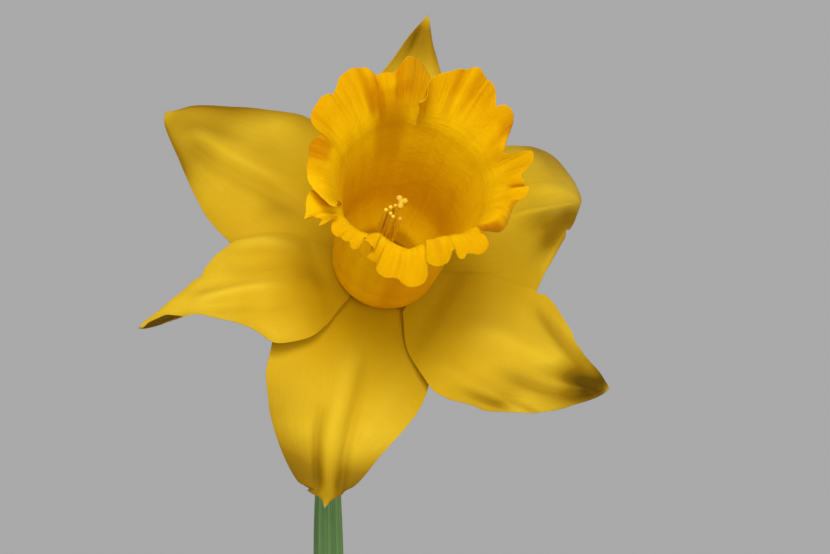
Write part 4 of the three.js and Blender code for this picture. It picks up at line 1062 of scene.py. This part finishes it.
def small_finish(name, light, deep, scale, rough):
    """Finely grained surface of a small organ, such as an anther or the stigma."""
    skin = Finish(name)
    grain = skin.noise(skin.place, scale, 4.0, 0.6)
    colour = skin.coats(deep, grains=(grain.between(0.35, 0.7), light))
    return skin.done(colour, rough + grain * 0.1, skin.bump(grain, 0.6, 0.0003), 0.2)


FINISHES = {
    "tepal": tepal_finish(),
    "corona": corona_finish(),
    "leaf": leaf_finish("leaf_skin", (0.13, 0.25, 0.09), (0.065, 0.16, 0.05), (0.20, 0.31, 0.19)),
    "stem": leaf_finish("stem_skin", (0.17, 0.33, 0.09), (0.09, 0.22, 0.05), (0.22, 0.36, 0.17)),
    "clay": clay_finish(),
    "bark": compost_finish("bark_lumps", (0.05, 0.026, 0.014), (0.17, 0.10, 0.055)),
    "grit": compost_finish("white_grit", (0.55, 0.52, 0.47), (0.80, 0.78, 0.74)),
    "compost": compost_finish("compost_crumbs", (0.022, 0.012, 0.008), (0.10, 0.055, 0.032)),
    "tunic": papery_finish("tunic_skin", (0.17, 0.075, 0.03), (0.42, 0.24, 0.11), 60.0, 0.1),
    "spathe": papery_finish("spathe_skin", (0.38, 0.24, 0.11), (0.66, 0.50, 0.30), 30.0, 0.35),
    "sheath": papery_finish("sheath_skin", (0.46, 0.50, 0.24), (0.72, 0.74, 0.50), 40.0, 0.3),
    "floral_tube": tube_finish(),
    "anther": small_finish("anther_skin", (0.90, 0.68, 0.010), (0.80, 0.56, 0.006), 2600.0, 0.8),
    "filament": small_finish("filament_skin", (0.90, 0.70, 0.012), (0.82, 0.58, 0.008), 600.0, 0.5),
    "pollen": small_finish("pollen_dabs", (0.92, 0.64, 0.06), (0.82, 0.52, 0.03), 2600.0, 0.8),
    "stigma": small_finish("stigma_skin", (0.66, 0.43, 0.035), (0.56, 0.34, 0.015), 2200.0, 0.6),
}


def wall_radius(z):
    """Radius of the pot's inside at a height."""
    body = lerp(POT["foot_radius"], POT["body_top_radius"], POT["floor"] / POT["height"])
    share = (z - POT["floor"]) / (POT["height"] - POT["floor"])
    return lerp(body - POT["wall"], POT["rim_radius"] - POT["lip"], share)


def pot():
    """Clay pot: a turned body with a band round its rim and drain holes in its floor."""
    height, floor, rim = POT["height"], POT["floor"], POT["rim_radius"]
    band = height - POT["band_height"]
    body = lerp(POT["foot_radius"], POT["body_top_radius"], band / height)
    outline = [
        (0, 0), (POT["foot_radius"], 0), (body, band), (rim - POT["band_taper"], band), (rim, height),
        (wall_radius(height), height), (wall_radius(floor), floor), (0, floor),
    ]
    profile = polyline("pot_profile", [(radius, 0, z) for radius, z in outline])
    clay = FINISHES["clay"]
    turned = turning_recipe(clay).grow("pot_turned", profile, {
        "Corner radius": POT["corner"] * MM, "Sides": POT["sides"], "Steps": POT["steps"]})
    drilled = drilling_recipe(clay).grow("pot_body", turned, {
        "Holes": POT["holes"], "Hole radius": POT["hole_radius"] * MM, "Ring radius": POT["hole_ring"] * MM})
    finished("clay_pot", drilled, "clay", "pot")


def soil_top(x, y):
    """Height of the soil at a place: long swells with smaller lumps over them."""
    level = np.sin(x / SOIL["wave_x"] + 1) * np.cos(y / SOIL["wave_y"])
    slanting = SOIL["slant_share"] * np.sin((x - 2 * y) / SOIL["wave_slant"])
    lumps = 0.5 * wander(x * 0.31 + 2, 31) * wander(y * 0.29, 32) + 0.25 * wander((x + y) * 0.8, 33)
    waves = SOIL["swell"] * (level + slanting) * SOIL["wave_share"]
    return SOIL["top"] + waves + SOIL["swell"] * lumps * SOIL["lump_share"]


def soil():
    """Compost: a lumpy bed with crumbs and white grit strewn over it."""
    foot = POT["floor"] + SOIL["foot_gap"]
    edge = wall_radius(SOIL["top"]) - SOIL["slack"]
    under = upright(wall_radius(foot) * np.array([0.02, 0.5, 0.99])[:, None], turns(SOIL["sides"]), foot)
    top = upright(edge * np.linspace(1, 0.02, SOIL["rings"])[:, None], turns(SOIL["sides"]), 0.0)
    top[..., 2] = soil_top(top[..., 0], top[..., 1])
    finished("compost_bed", body_through("compost_bed", np.concatenate([under, top])), "compost", "soil")
    surface = body_through("compost_top", top)
    for name, finish, values in STREWN:
        crumbs = strewing_recipe(FINISHES[finish]).grow(name, surface.copy(), values)
        finished(name, crumbs, finish, slot="compost")


def bulb():
    """Bulb of two noses in a dry ribbed tunic, each with a pocket that its shoot stands in."""
    turn = turns(BULB["sides"])
    meshes = []
    for seed, nose in enumerate(SHOOTS.values()):
        profile = curve_through(nose["outline"])
        foot, top = nose["outline"][0][0], nose["outline"][-1][0]
        ribs = BULB["rib"] * wander(turn * 9, 40 + seed) + BULB["fine_rib"] * np.sin(turn * 31 + 2 * seed)
        torn = top - BULB["torn"] + BULB["tear"] * wander(turn * 2, 50 + seed) * np.sin(turn / 2) ** 2
        rings = []
        for share in np.linspace(0, 1, BULB["rows"]):
            z = lerp(foot, torn, share)
            rings.append((profile(z) + ribs * smoothstep(share, 0, 0.2), z))
        pocket, floor = nose["pocket_radius"], nose["pocket_floor"]
        rings += [(pocket + 0.2, torn - 0.2), (pocket, lerp(torn, floor, 0.5)), (pocket, floor), (1.0, floor)]
        grid = np.array([upright(radius, turn, z, nose["x"], nose["y"]) for radius, z in rings])
        meshes.append(body_through(f"nose_{seed}", grid))
    finished("bulb_tunic", joined("bulb_tunic", meshes), "tunic", "bulb")


def tunic_scales():
    """Torn scales of the tunic that stand a little off the bulb's noses."""
    across = np.linspace(-1, 1, SCALE["columns"])[None, :]
    along = np.linspace(0, 1, SCALE["rows"])[:, None]
    meshes = []
    for nose_name, heading, span, foot, top, stand in SCALES:
        nose = SHOOTS[nose_name]
        peak = 1 - SCALE["arched"] * across**2 + SCALE["torn"] * wander(across * 5, heading)
        z = foot + (top - foot) * along * np.clip(peak, 0.1, 1)
        angle = np.radians(heading + span * across * (1 - SCALE["tapered"] * along**2))
        radius = curve_through(nose["outline"])(np.minimum(z, nose["outline"][-1][0]))
        radius = radius + SCALE["off"] + stand * along**1.5 + SCALE["uneven"] * wander(across * 9 + along, 7)
        outer = upright(radius, angle, z, nose["x"], nose["y"])
        meshes.append(body_between("scale", outer, outer - face_normals(outer) * SCALE["wall"]))
    finished("tunic_scales", joined("tunic_scales", meshes), "tunic")


def sheath(name):
    """Pale sheath round the foot of a shoot's leaves, with a slanting ragged mouth."""
    nose = SHOOTS[name]
    turn = turns(SHEATH["columns"])[None, :]
    share = np.linspace(0, 1, SHEATH["rows"])[:, None]
    ragged = SHEATH["ragged"] * wander(turn * 3, 61) * np.sin(turn / 2) ** 2
    ragged = ragged + SHEATH["teeth"] * np.sin(turn * 13)
    ragged = ragged + SHEATH["notches"] * np.abs(np.sin(turn - 0.4)) ** 3
    height = nose["sheath_height"] + SHEATH["slant"] * np.cos(turn - 1) + ragged
    ribs = SHEATH["rib"] * np.sin(turn * 21) * smoothstep(share, 0, 0.3)
    radius = nose["pocket_radius"] - GAP + ribs - SHEATH["drawn_in"] * smoothstep(share, 0.15, 1)
    radius = radius + SHEATH["wavy"] * share**8 * np.sin(3 * turn)
    foot = nose["pocket_floor"] + GAP
    insets = (0, SHEATH["wall"] * lerp(1, 0.5, share))
    walls = [upright(radius - inset, turn, foot + share * height, nose["x"], nose["y"]) for inset in insets]
    mesh = body_between("sheath_" + name, *walls, ring=True)
    finished(f"sheath_{name}_skin", mesh, "sheath", "sheath_" + name)


def leaf(name):
    """Strap leaf: it stands in its sheath, then leans out, twists and hollows into a channel."""
    shoot, heading, length, lean, twist, width = LEAVES[name]
    nose = SHOOTS[shoot]
    root, root_width, root_thickness = LEAF_ROOT[shoot]
    out = upright(1, math.radians(heading), 0)
    across = np.cross(Z, out)
    free = nose["sheath_height"] / length
    share = np.linspace(0, 1, LEAF["rows"] + 1)[:, None]
    angle = math.radians(lean) * np.maximum(0, (share - free) / (1 - free)) ** LEAF["spread_power"]
    along = np.cos(angle) * Z + np.sin(angle) * out
    start = np.array([nose["x"], nose["y"], nose["pocket_floor"] + 2 * GAP]) + root * out
    place = start + np.concatenate([np.zeros((1, 3)), np.cumsum(along[:-1], axis=0)]) * length / LEAF["rows"]
    facing = -np.cos(angle) * out + np.sin(angle) * Z
    turn = math.radians(twist) * smoothstep(share, free, 1)
    side = np.cos(turn) * across + np.sin(turn) * facing
    face = np.cos(turn) * facing - np.sin(turn) * across
    tip = LEAF["tip_length"] / length
    taper = np.sqrt(1 - (LEAF["tip_taper"] * np.maximum(0, (share - 1 + tip) / tip)) ** 2)
    half = lerp(root_width, width, smoothstep(share, *LEAF["widens"])) / 2 * taper
    channel = LEAF["channel"] * smoothstep(share, free * 1.5, 0.5) * (half / width) * 2
    s = np.sin(np.linspace(-math.pi / 2, math.pi / 2, LEAF["columns"] + 1))[None, :]
    sway = LEAF["sway"] * wander(share * 9, length) * smoothstep(share, free, 1)
    middle = lerp(root_thickness, LEAF["tip_thickness"], share)
    thick = lerp(middle, LEAF["edge"], s**2) + LEAF["keel"] * hill(s, LEAF["keel_width"]) * share
    walls = []
    for lift in (channel * s**2 + sway - thick, channel * s**2 + sway):
        walls.append(place[:, None] + side[:, None] * (half * s)[..., None] + face[:, None] * lift[..., None])
    finished(name + "_strap", body_between(name + "_strap", *walls), "leaf", name)


def scape():
    """Scape, pedicel and ovary: an oval stem with two faint edges, ribbed at the ovary."""
    path = smooth_path([*SCAPE["path"], *in_part([(0, 0, z) for z in SCAPE["along"]])], SCAPE["rows"])
    tangent = unit(np.gradient(path, axis=0))
    side = unit(np.array([1.0, 0, 0]) - tangent * tangent[:, :1])
    other = np.cross(tangent, side)
    share = np.linspace(0, 1, SCAPE["rows"] + 1)[:, None]
    turn = turns(SCAPE["sides"])[None, :]
    edges = SCAPE["edges"] * np.cos(2 * turn) * (1 - smoothstep(share, *SCAPE["edges_end"]))
    ribs = SCAPE["ribs"] * np.cos(6 * turn) * smoothstep(share, *SCAPE["ribs_start"])
    grow = 1 + edges + (ribs + SCAPE["fine_ribs"] * np.sin(16 * turn))
    wide, deep = (column(SCAPE["girth"], k)(share) * grow for k in (1, 2))
    rings = path[:, None] + side[:, None] * (wide * np.cos(turn))[..., None]
    rings = rings + other[:, None] * (deep * np.sin(turn))[..., None]
    finished("scape_stem", body_through("scape_stem", rings), "stem", "scape")


def spathe():
    """Spathe: the dry papery sheath round the pedicel, split open towards the bloom."""
    wrap, radius, offset = (column(SPATHE["stations"], k) for k in range(1, 4))
    x, y, foot = SPATHE["foot"]
    share = np.linspace(0, 1, SPATHE["rows"] + 1)[:, None]
    across = np.linspace(-1, 1, SPATHE["columns"] + 1)[None, :]
    z = SPATHE["stations"][-1][0] * share
    angle = math.pi / 2 + np.radians(wrap(z)) * across
    crumple = SPATHE["crumple"] * wander(across * 4 + share * 3, 71) * share
    crumple = crumple + SPATHE["fine_crumple"] * np.sin(across * 26) * share
    ragged = SPATHE["ragged"] * wander(across * 6, 72) * share**3
    outer = upright(radius(z) + crumple, angle, foot + z + ragged, x, y + offset(z))
    inner = outer - face_normals(outer) * SPATHE["wall"]
    finished("spathe_skin", body_between("spathe_skin", outer, inner), "spathe", "spathe")


def floral_tube():
    """Floral tube: a ribbed funnel, closed at its foot, with a lip that the tepals sit on."""
    wall, mouth, turn = TUBE["wall"], TUBE["mouth_radius"], turns(TUBE["sides"])
    profile = curve_through(TUBE["outline"])
    foot, top = TUBE["outline"][0][0], TUBE["outline"][-1][0]
    rings = []
    for z in np.linspace(foot, top, TUBE["outer_rings"]):
        rib = TUBE["rib"] * np.cos(6 * turn) * smoothstep(-z, 4, 9)
        rings.append(upright(profile(z) * (1 + rib), turn, z))
    rings.append(upright(mouth, turn, top))
    for z in np.linspace(top - TUBE["lip"], foot + wall, TUBE["inner_rings"]):
        rings.append(upright(min(float(profile(z)) - wall, mouth), turn, z))
    mesh = body_through("floral_tube_skin", in_part(np.array(rings)))
    finished("floral_tube_skin", mesh, "floral_tube", "floral_tube")


class Ribs:
    """A tepal's smooth shape between its ribs. Out is the distance from the bloom's axis along the tepal's
    heading, and aside the distance from that line. Side is below 0 clockwise of the midrib, else above 0."""

    def __init__(self, name):
        self.heading, stations = TEPALS[name]
        self.root, self.end = stations[0][0], stations[-1][0] - TEPAL["tip"]
        self.reach_cw, self.reach_ccw, self.sidestep = (column(stations, k) for k in (1, 2, 3))
        self.rise, self.roll_cw, self.roll_ccw = (column(stations, k) for k in (4, 5, 6))
        turn = math.radians(self.heading)
        self.cos, self.sin = math.cos(turn), math.sin(turn)

    def reach(self, out, side):
        return np.where(side < 0, self.reach_cw(out), self.reach_ccw(out))

    def roll(self, out, side):
        """Angle in radians that a side rolls forward through, never quite 0."""
        roll = np.radians(np.where(side < 0, self.roll_cw(out), self.roll_ccw(out)))
        return np.where(np.abs(roll) < 1e-3, 1e-3, roll)

    def turned(self, x, y):
        """Out and aside of a place in the bloom's axes."""
        return x * self.cos + y * self.sin, y * self.cos - x * self.sin

    def level(self, x, y):
        """Height of the rolled face at a place, without its creases."""
        out, aside = self.turned(x, y)
        off = aside - self.sidestep(out)
        wide = np.maximum(self.reach(out, off), 0.5)
        roll = self.roll(out, off)
        bent = np.arcsin(np.clip(np.abs(off) * roll / wide, -1, 1))
        return self.rise(out) + wide * (1 - np.cos(bent)) / roll

    def traced(self, places):
        """Out and aside of places in the camera's picture on this tepal."""
        points = seen(places, self.level)
        return self.turned(points[..., 0], points[..., 1])


def tepal(name):
    """One tepal: a thin blade with the ribs' shape, the creases on its face and a lightly rippled margin."""
    ribs = Ribs(name)
    root, end, seed = ribs.root, ribs.end, ribs.heading
    down = np.sin(np.linspace(0, math.pi / 2, TEPAL["rows"] + 1))[:, None]
    even = np.linspace(-1, 1, TEPAL["columns"] + 1)[None, :]
    s = lerp(even, np.sin(even * math.pi / 2), TEPAL["crowded"])
    u, s = np.broadcast_arrays(lerp(root, end, down), s)
    side, beyond = np.sign(s), np.abs(s)
    reach = ribs.reach(u, s) * (1 + TEPAL["uneven"] * wander(u * 0.7, seed, 2) * side)
    for place, depth, width in NICKS.get(name, []):
        out, aside = ribs.traced(place)
        same = (np.sign(aside - ribs.sidestep(out)) == side) * beyond**6
        reach = reach - depth * same * hill(u - out, width)
    roll = ribs.roll(u, s)
    bent = roll * beyond
    v = ribs.sidestep(u) + side * reach * np.sin(bent) / roll
    h = ribs.rise(u) + reach * (1 - np.cos(bent)) / roll
    comes, goes = TEPAL["ripple_fades"]
    margin = beyond**3 * plateau(u, root, root + comes, end - goes, end)
    ripple = wander(u * 0.4, seed + 1, 2) + TEPAL["fine_ripple"] * wander(u * 1.4, seed + 2, 2) * side
    h = h + TEPAL["ripple"] * margin * ripple
    # Painted shade on curled-back parts, margins and creases, and painted highlight on ridges, kept as a mesh
    # attribute
    tone = 2 * smoothstep(np.abs(np.degrees(bent)), *TEPAL["curled"])
    comes, goes = TEPAL["edge_fades"]
    for edge, first, last, painted_shade_and_light, keen in PAINTED_SHADE_MARGINS[name]:
        along = plateau(u, first, first + comes, last - goes, last)
        tone = tone + painted_shade_and_light * along * np.clip(s * edge, 0, 1) ** keen
    for height, painted_shade_and_light, width, line in CREASES_AND_PAINTED_SHADING[name]:
        marks = sorted(zip(*ribs.traced(line)))
        ends = np.array([marks[0][0], marks[0][0], marks[-1][0], marks[-1][0]]) + TEPAL["crease_fades"]
        band = plateau(u, *ends) * hill(v - curve_through(marks)(u), width)
        h = h + height * band
        tone = tone + painted_shade_and_light * band
    surface = np.stack([u * ribs.cos - v * ribs.sin, u * ribs.sin + v * ribs.cos, h], -1)
    thickness = lerp(TEPAL["thickness"], TEPAL["edge"], beyond**1.5)
    thickness = thickness * lerp(1, TEPAL["thinner_tip"], (u - root) / (end - root))
    behind = surface + face_normals(surface) * thickness[..., None]
    mesh = body_between(name + "_skin", in_part(behind), in_part(surface))
    tagged(mesh, "tone", [tone, tone])
    finished(name + "_blade", mesh, "tepal", name)


def corona_margin():
    """Points along the corona's margin with how far each one's strip bulges, and the angle in radians that each
    strip starts from at the throat."""
    table = np.array(MARGIN)

    def level(x, y):
        return CORONA["mouth"] + CORONA["mouth_tilt"] * y / np.hypot(x, y) + table[:, 2]

    points = np.column_stack([seen(table[:, :2], level), table[:, 3]])
    walk = smooth_path(np.concatenate([points[-3:], points, points[:3]]), CORONA["walked"])
    away = np.linalg.norm(walk - points[0], axis=1)
    half = CORONA["walked"] // 2
    first, last = np.argmin(away[:half]), half + np.argmin(away[half:])
    walk = walk[np.linspace(first, last, CORONA["columns"] + 1).astype(int)[:-1]]
    azimuth = np.unwrap(np.arctan2(walk[:, 1], walk[:, 0]))
    thrice = np.concatenate([azimuth - math.tau, azimuth, azimuth + math.tau])
    steady = (np.maximum.accumulate(thrice) + np.minimum.accumulate(thrice[::-1])[::-1]) / 2
    spread = 2 * (CORONA["columns"] // CORONA["smoothing"]) + 1
    smooth = np.convolve(steady, np.ones(spread) / spread, "same")[len(azimuth):2 * len(azimuth)]
    return walk, lerp(smooth, azimuth[0] + turns(len(azimuth)), CORONA["evened"])


def crimped(margin):
    """The margin with its fine crimps, which fade where it bends sharply and where it closes."""
    length = np.cumsum(np.linalg.norm(margin - np.roll(margin, 1, axis=0), axis=1))
    span, seam, whole = CORONA["bend_span"], CORONA["seam"], length[-1]
    ahead, behind = unit(np.roll(margin, -span, axis=0) - margin), unit(margin - np.roll(margin, span, axis=0))
    fade = np.minimum(smoothstep(length, 0, seam), 1 - smoothstep(length, whole - seam, whole))
    fade = fade * np.clip(np.sum(ahead * behind, axis=1), 0, 1) ** 2
    for share, direction, seed in ((1.0, unit(margin * [1, 1, 0]), 91), (1.4, Z, 92)):
        crimp = CORONA["crimp"] * share * fade * wander(length * math.tau / CORONA["crimp_length"], seed)
        margin = margin + direction * crimp[:, None]
    return margin


def painted_shade_and_light(azimuth, t):
    """How much painted shade deepens the corona's colour round one of its rows, with painted light below 0."""
    tone, fade = 0, CORONA["painted_shading_fade"]
    for place, width, much, begin, stop in CORONA_PAINTED_SHADE_AND_LIGHT:
        along = plateau(t, begin, begin + fade, stop - fade, stop)
        tone = tone + much * hill(apart(azimuth, place), width, 4) * along
    return tone


def folded(azimuth, t):
    """How deep the folds are round one of the mouth's rows."""
    depths = 0
    for place, width, depth, begin in FOLDS:
        along = smoothstep(t, begin, begin + CORONA["folds_fade"])
        depths = depths + depth * hill(apart(azimuth, place), width) * along
    return depths


def corona():
    """Corona: a collar between the tepals' roots, a cup with faint ribs, and a mouth of frilled lobes."""
    walk, turn = corona_margin()
    azimuth = np.degrees(turn)
    margin, bulge = crimped(walk[:, :3]), walk[:, 3]
    throat_radius, throat = CORONA["throat"]
    cup_radius, funnel = curve_through(CORONA["cup"]), curve_through(CORONA["funnel"])
    rib = CORONA["rib"] * wander(azimuth * 0.16, 3, 3) * np.sin(turn / 2) ** 2
    narrowed = CORONA["narrows"] * (around(BEND, 1)(azimuth) - throat_radius - 1)
    rows = [upright(CORONA["collar_radius"], turn, CORONA["collar_foot"])]
    for k in range(CORONA["funnel_rows"]):
        radius = lerp(CORONA["funnel"][0][0], CORONA["funnel"][-1][0], (k / CORONA["funnel_rows"]) ** 1.4)
        rows.append(upright(radius, turn, funnel(radius)))
    start = CORONA["funnel"][-1][1]
    for k in range(CORONA["cup_rows"]):
        z = lerp(start, throat, k / CORONA["cup_rows"])
        radius = cup_radius(z) + rib * smoothstep(z, start, start + 8)
        rows.append(upright(radius + narrowed * smoothstep(z, start + 10, throat), turn, z))
    # Painted shade and painted light on the cup's rows
    tones = [painted_shade_and_light(azimuth, k / len(rows) - 1) for k in range(len(rows))]
    out = upright(throat_radius + rib + narrowed, turn, throat)
    bend = upright(around(BEND, 1)(azimuth), turn, around(BEND, 2)(azimuth))
    crest = lerp(bend, margin, CORONA["crest"]) + Z * bulge[:, None]
    for t in np.arange(CORONA["flare_rows"] + 1) / CORONA["flare_rows"]:
        strip = (1 - t) ** 3 * out + 3 * t * (1 - t) ** 2 * bend + 3 * t * t * (1 - t) * crest + t**3 * margin
        folds = folded(azimuth, t)
        pleat = CORONA["pleat"] * wander(azimuth * 0.3, 9) * math.sin(math.pi * min(1, t * 1.1))
        rows.append(strip + Z * (pleat - folds * (1 - 0.5 * t))[:, None])
        # Painted shade in the folds, with the painted shade and light of the corona table
        tones.append(folds * CORONA["folds_painted_shade"] + painted_shade_and_light(azimuth, t))
    inside = np.array(rows)
    share = np.linspace(0, 1, len(rows))[:, None, None]
    wall = face_normals(inside, ring=True) * CORONA["wall"] * lerp(1, CORONA["thin_margin"], share**2)
    outside = inside + wall
    for k, (radius, z) in enumerate(CORONA["foot"]):
        outside[k] = upright(radius, turn, z)
    mesh = body_between("corona_skin", in_part(outside), in_part(inside), ring=True)
    # The outer face carries extra painted shade all over
    tagged(mesh, "tone", [np.array(tones) + CORONA["outside"], tones])
    tagged(mesh, "heading", np.tile(upright(1, turn, 0), (2 * len(rows), 1)), "FLOAT_VECTOR", "vector")
    finished("corona_frill", mesh, "corona", "corona")


def rod(name, points, radii, finish, sides, steps, *nodes, slot=None):
    """Round rod through points of the bloom's axes, as thick at each as its radius."""
    path = polyline(name, in_part(np.array(points)).tolist(), radii)
    swept = sweeping_recipe(FINISHES[finish]).grow(name, path, {"Sides": sides, "Steps": steps})
    finished(name, swept, finish, *nodes, slot=slot)


def lump(name, spots, radius, finish, slot):
    """One mesh of rounded lumps at points of the bloom's axes."""
    lumps = bmesh.new()
    for spot in spots:
        place = Vector(in_part(spot).tolist()) * MM
        bmesh.ops.create_icosphere(lumps, subdivisions=3, radius=radius * MM, matrix=Matrix.Translation(place))
    mesh = bpy.data.meshes.new(name)
    lumps.to_mesh(mesh)
    lumps.free()
    finished(name, mesh, finish, slot=slot)


def stamens():
    """Six stamens: thin filaments, slender anthers and a pale dab of pollen on each."""
    tips = []
    for index, (across, down, height) in enumerate(STAMENS["tips"]):
        tip = seen((across, down), lambda x, y: height)
        tips.append(tip)
        heading = math.radians(STAMENS["turn"] + 60 * index)
        anther = [tip - [0, 0, below] for below, _ in STAMENS["anther"]]
        rod(f"anther_{index + 1}", anther, [radius for _, radius in STAMENS["anther"]], "anther", 16, 30)
        stalk = [tip - [0, 0, below] for below, _ in STAMENS["filament"]]
        stalk += [upright(out, heading, z) for z, out, _ in STAMENS["foot"]]
        radii = [row[-1] for row in STAMENS["filament"] + STAMENS["foot"]]
        rod(f"filament_{index + 1}", stalk, radii, "filament", 12, 40, f"stamen_{index + 1}", slot="anther")
    lump("pollen", tips, STAMENS["pollen"], "pollen", "anther")


def pistil():
    """Style and its three small stigma lobes."""
    lobes = [seen(place, lambda x, y: PISTIL["height"]) for place in PISTIL["lobes"]]
    top = np.mean(lobes, axis=0)
    lean_x, lean_y, lean_top = PISTIL["lean"]
    leans = [max(0, z / lean_top) ** 1.5 for z, _ in PISTIL["style"]]
    points = [(lean_x * lean, lean_y * lean, z) for lean, (z, _) in zip(leans, PISTIL["style"])]
    girth = [radius for _, radius in PISTIL["style"]] + [PISTIL["girth"]]
    rod("style", [*points, top - [0, 0, 0.2]], girth, "filament", 16, 60, "pistil", slot="stigma")
    lump("stigma", [*lobes, top], PISTIL["lobe_radius"], "stigma", "stigma")


def stage():
    """Plain pale floor, pale world and soft studio light."""
    mesh = bpy.data.meshes.new("floor")
    ring = upright(FLOOR["radius"] * MM, turns(FLOOR["sides"]), 0).tolist()
    mesh.from_pydata(ring, [], [list(range(len(ring)))])
    floor = bpy.data.objects.new("floor", mesh)
    paint = Finish("pale_floor")
    dark, light = FLOOR["tones"]
    cloudy = paint.coats(dark, clouds=(paint.noise(paint.place, 3.0, 2.0), light))
    mesh.materials.append(paint.done(cloudy, 0.8))
    bpy.context.scene.collection.objects.link(floor)
    world = bpy.data.worlds.new("studio")
    world.use_nodes = True
    ground = world.node_tree.nodes["Background"].inputs
    ground["Color"].default_value = (*WORLD["colour"], 1)
    ground["Strength"].default_value = WORLD["strength"]
    bpy.context.scene.world = world
    bpy.context.scene.view_settings.view_transform = "Standard"


def soft_lamp(name, offset, size, power):
    """Soft square light that looks at the bloom, in millimetres and watts."""
    light = bpy.data.lights.new(name, "AREA")
    light.energy = power
    light.size = size * MM
    light.color = LAMP_COLOUR
    lamp = bpy.data.objects.new(name, light)
    centre = Vector(BLOOM["centre"])
    place = centre + Vector(offset)
    lamp.location = place * MM
    lamp.rotation_euler = (centre - place).to_track_quat("-Z", "Y").to_euler()
    bpy.context.scene.collection.objects.link(lamp)


def camera():
    """Camera at the photograph's viewing angle."""
    lens = bpy.data.cameras.new("camera")
    lens.lens = CAMERA["lens"]
    eye = bpy.data.objects.new("camera", lens)
    offset = VIEWER_TURN @ np.array(CAMERA["offset"])
    eye.location = Vector((np.array(BLOOM["centre"]) + offset) * MM)
    eye.rotation_euler = (math.radians(90 - BLOOM["viewer_above"]), 0, 0)
    bpy.context.scene.collection.objects.link(eye)
    bpy.context.scene.camera = eye


pot()
soil()
bulb()
tunic_scales()
for shoot_name in SHOOTS:
    sheath(shoot_name)
for leaf_name in LEAVES:
    leaf(leaf_name)
scape()
spathe()
floral_tube()
for tepal_name in TEPALS:
    tepal(tepal_name)
corona()
stamens()
pistil()
stage()
for lamp_name, lamp_values in LAMPS.items():
    soft_lamp(lamp_name, *lamp_values)
camera()
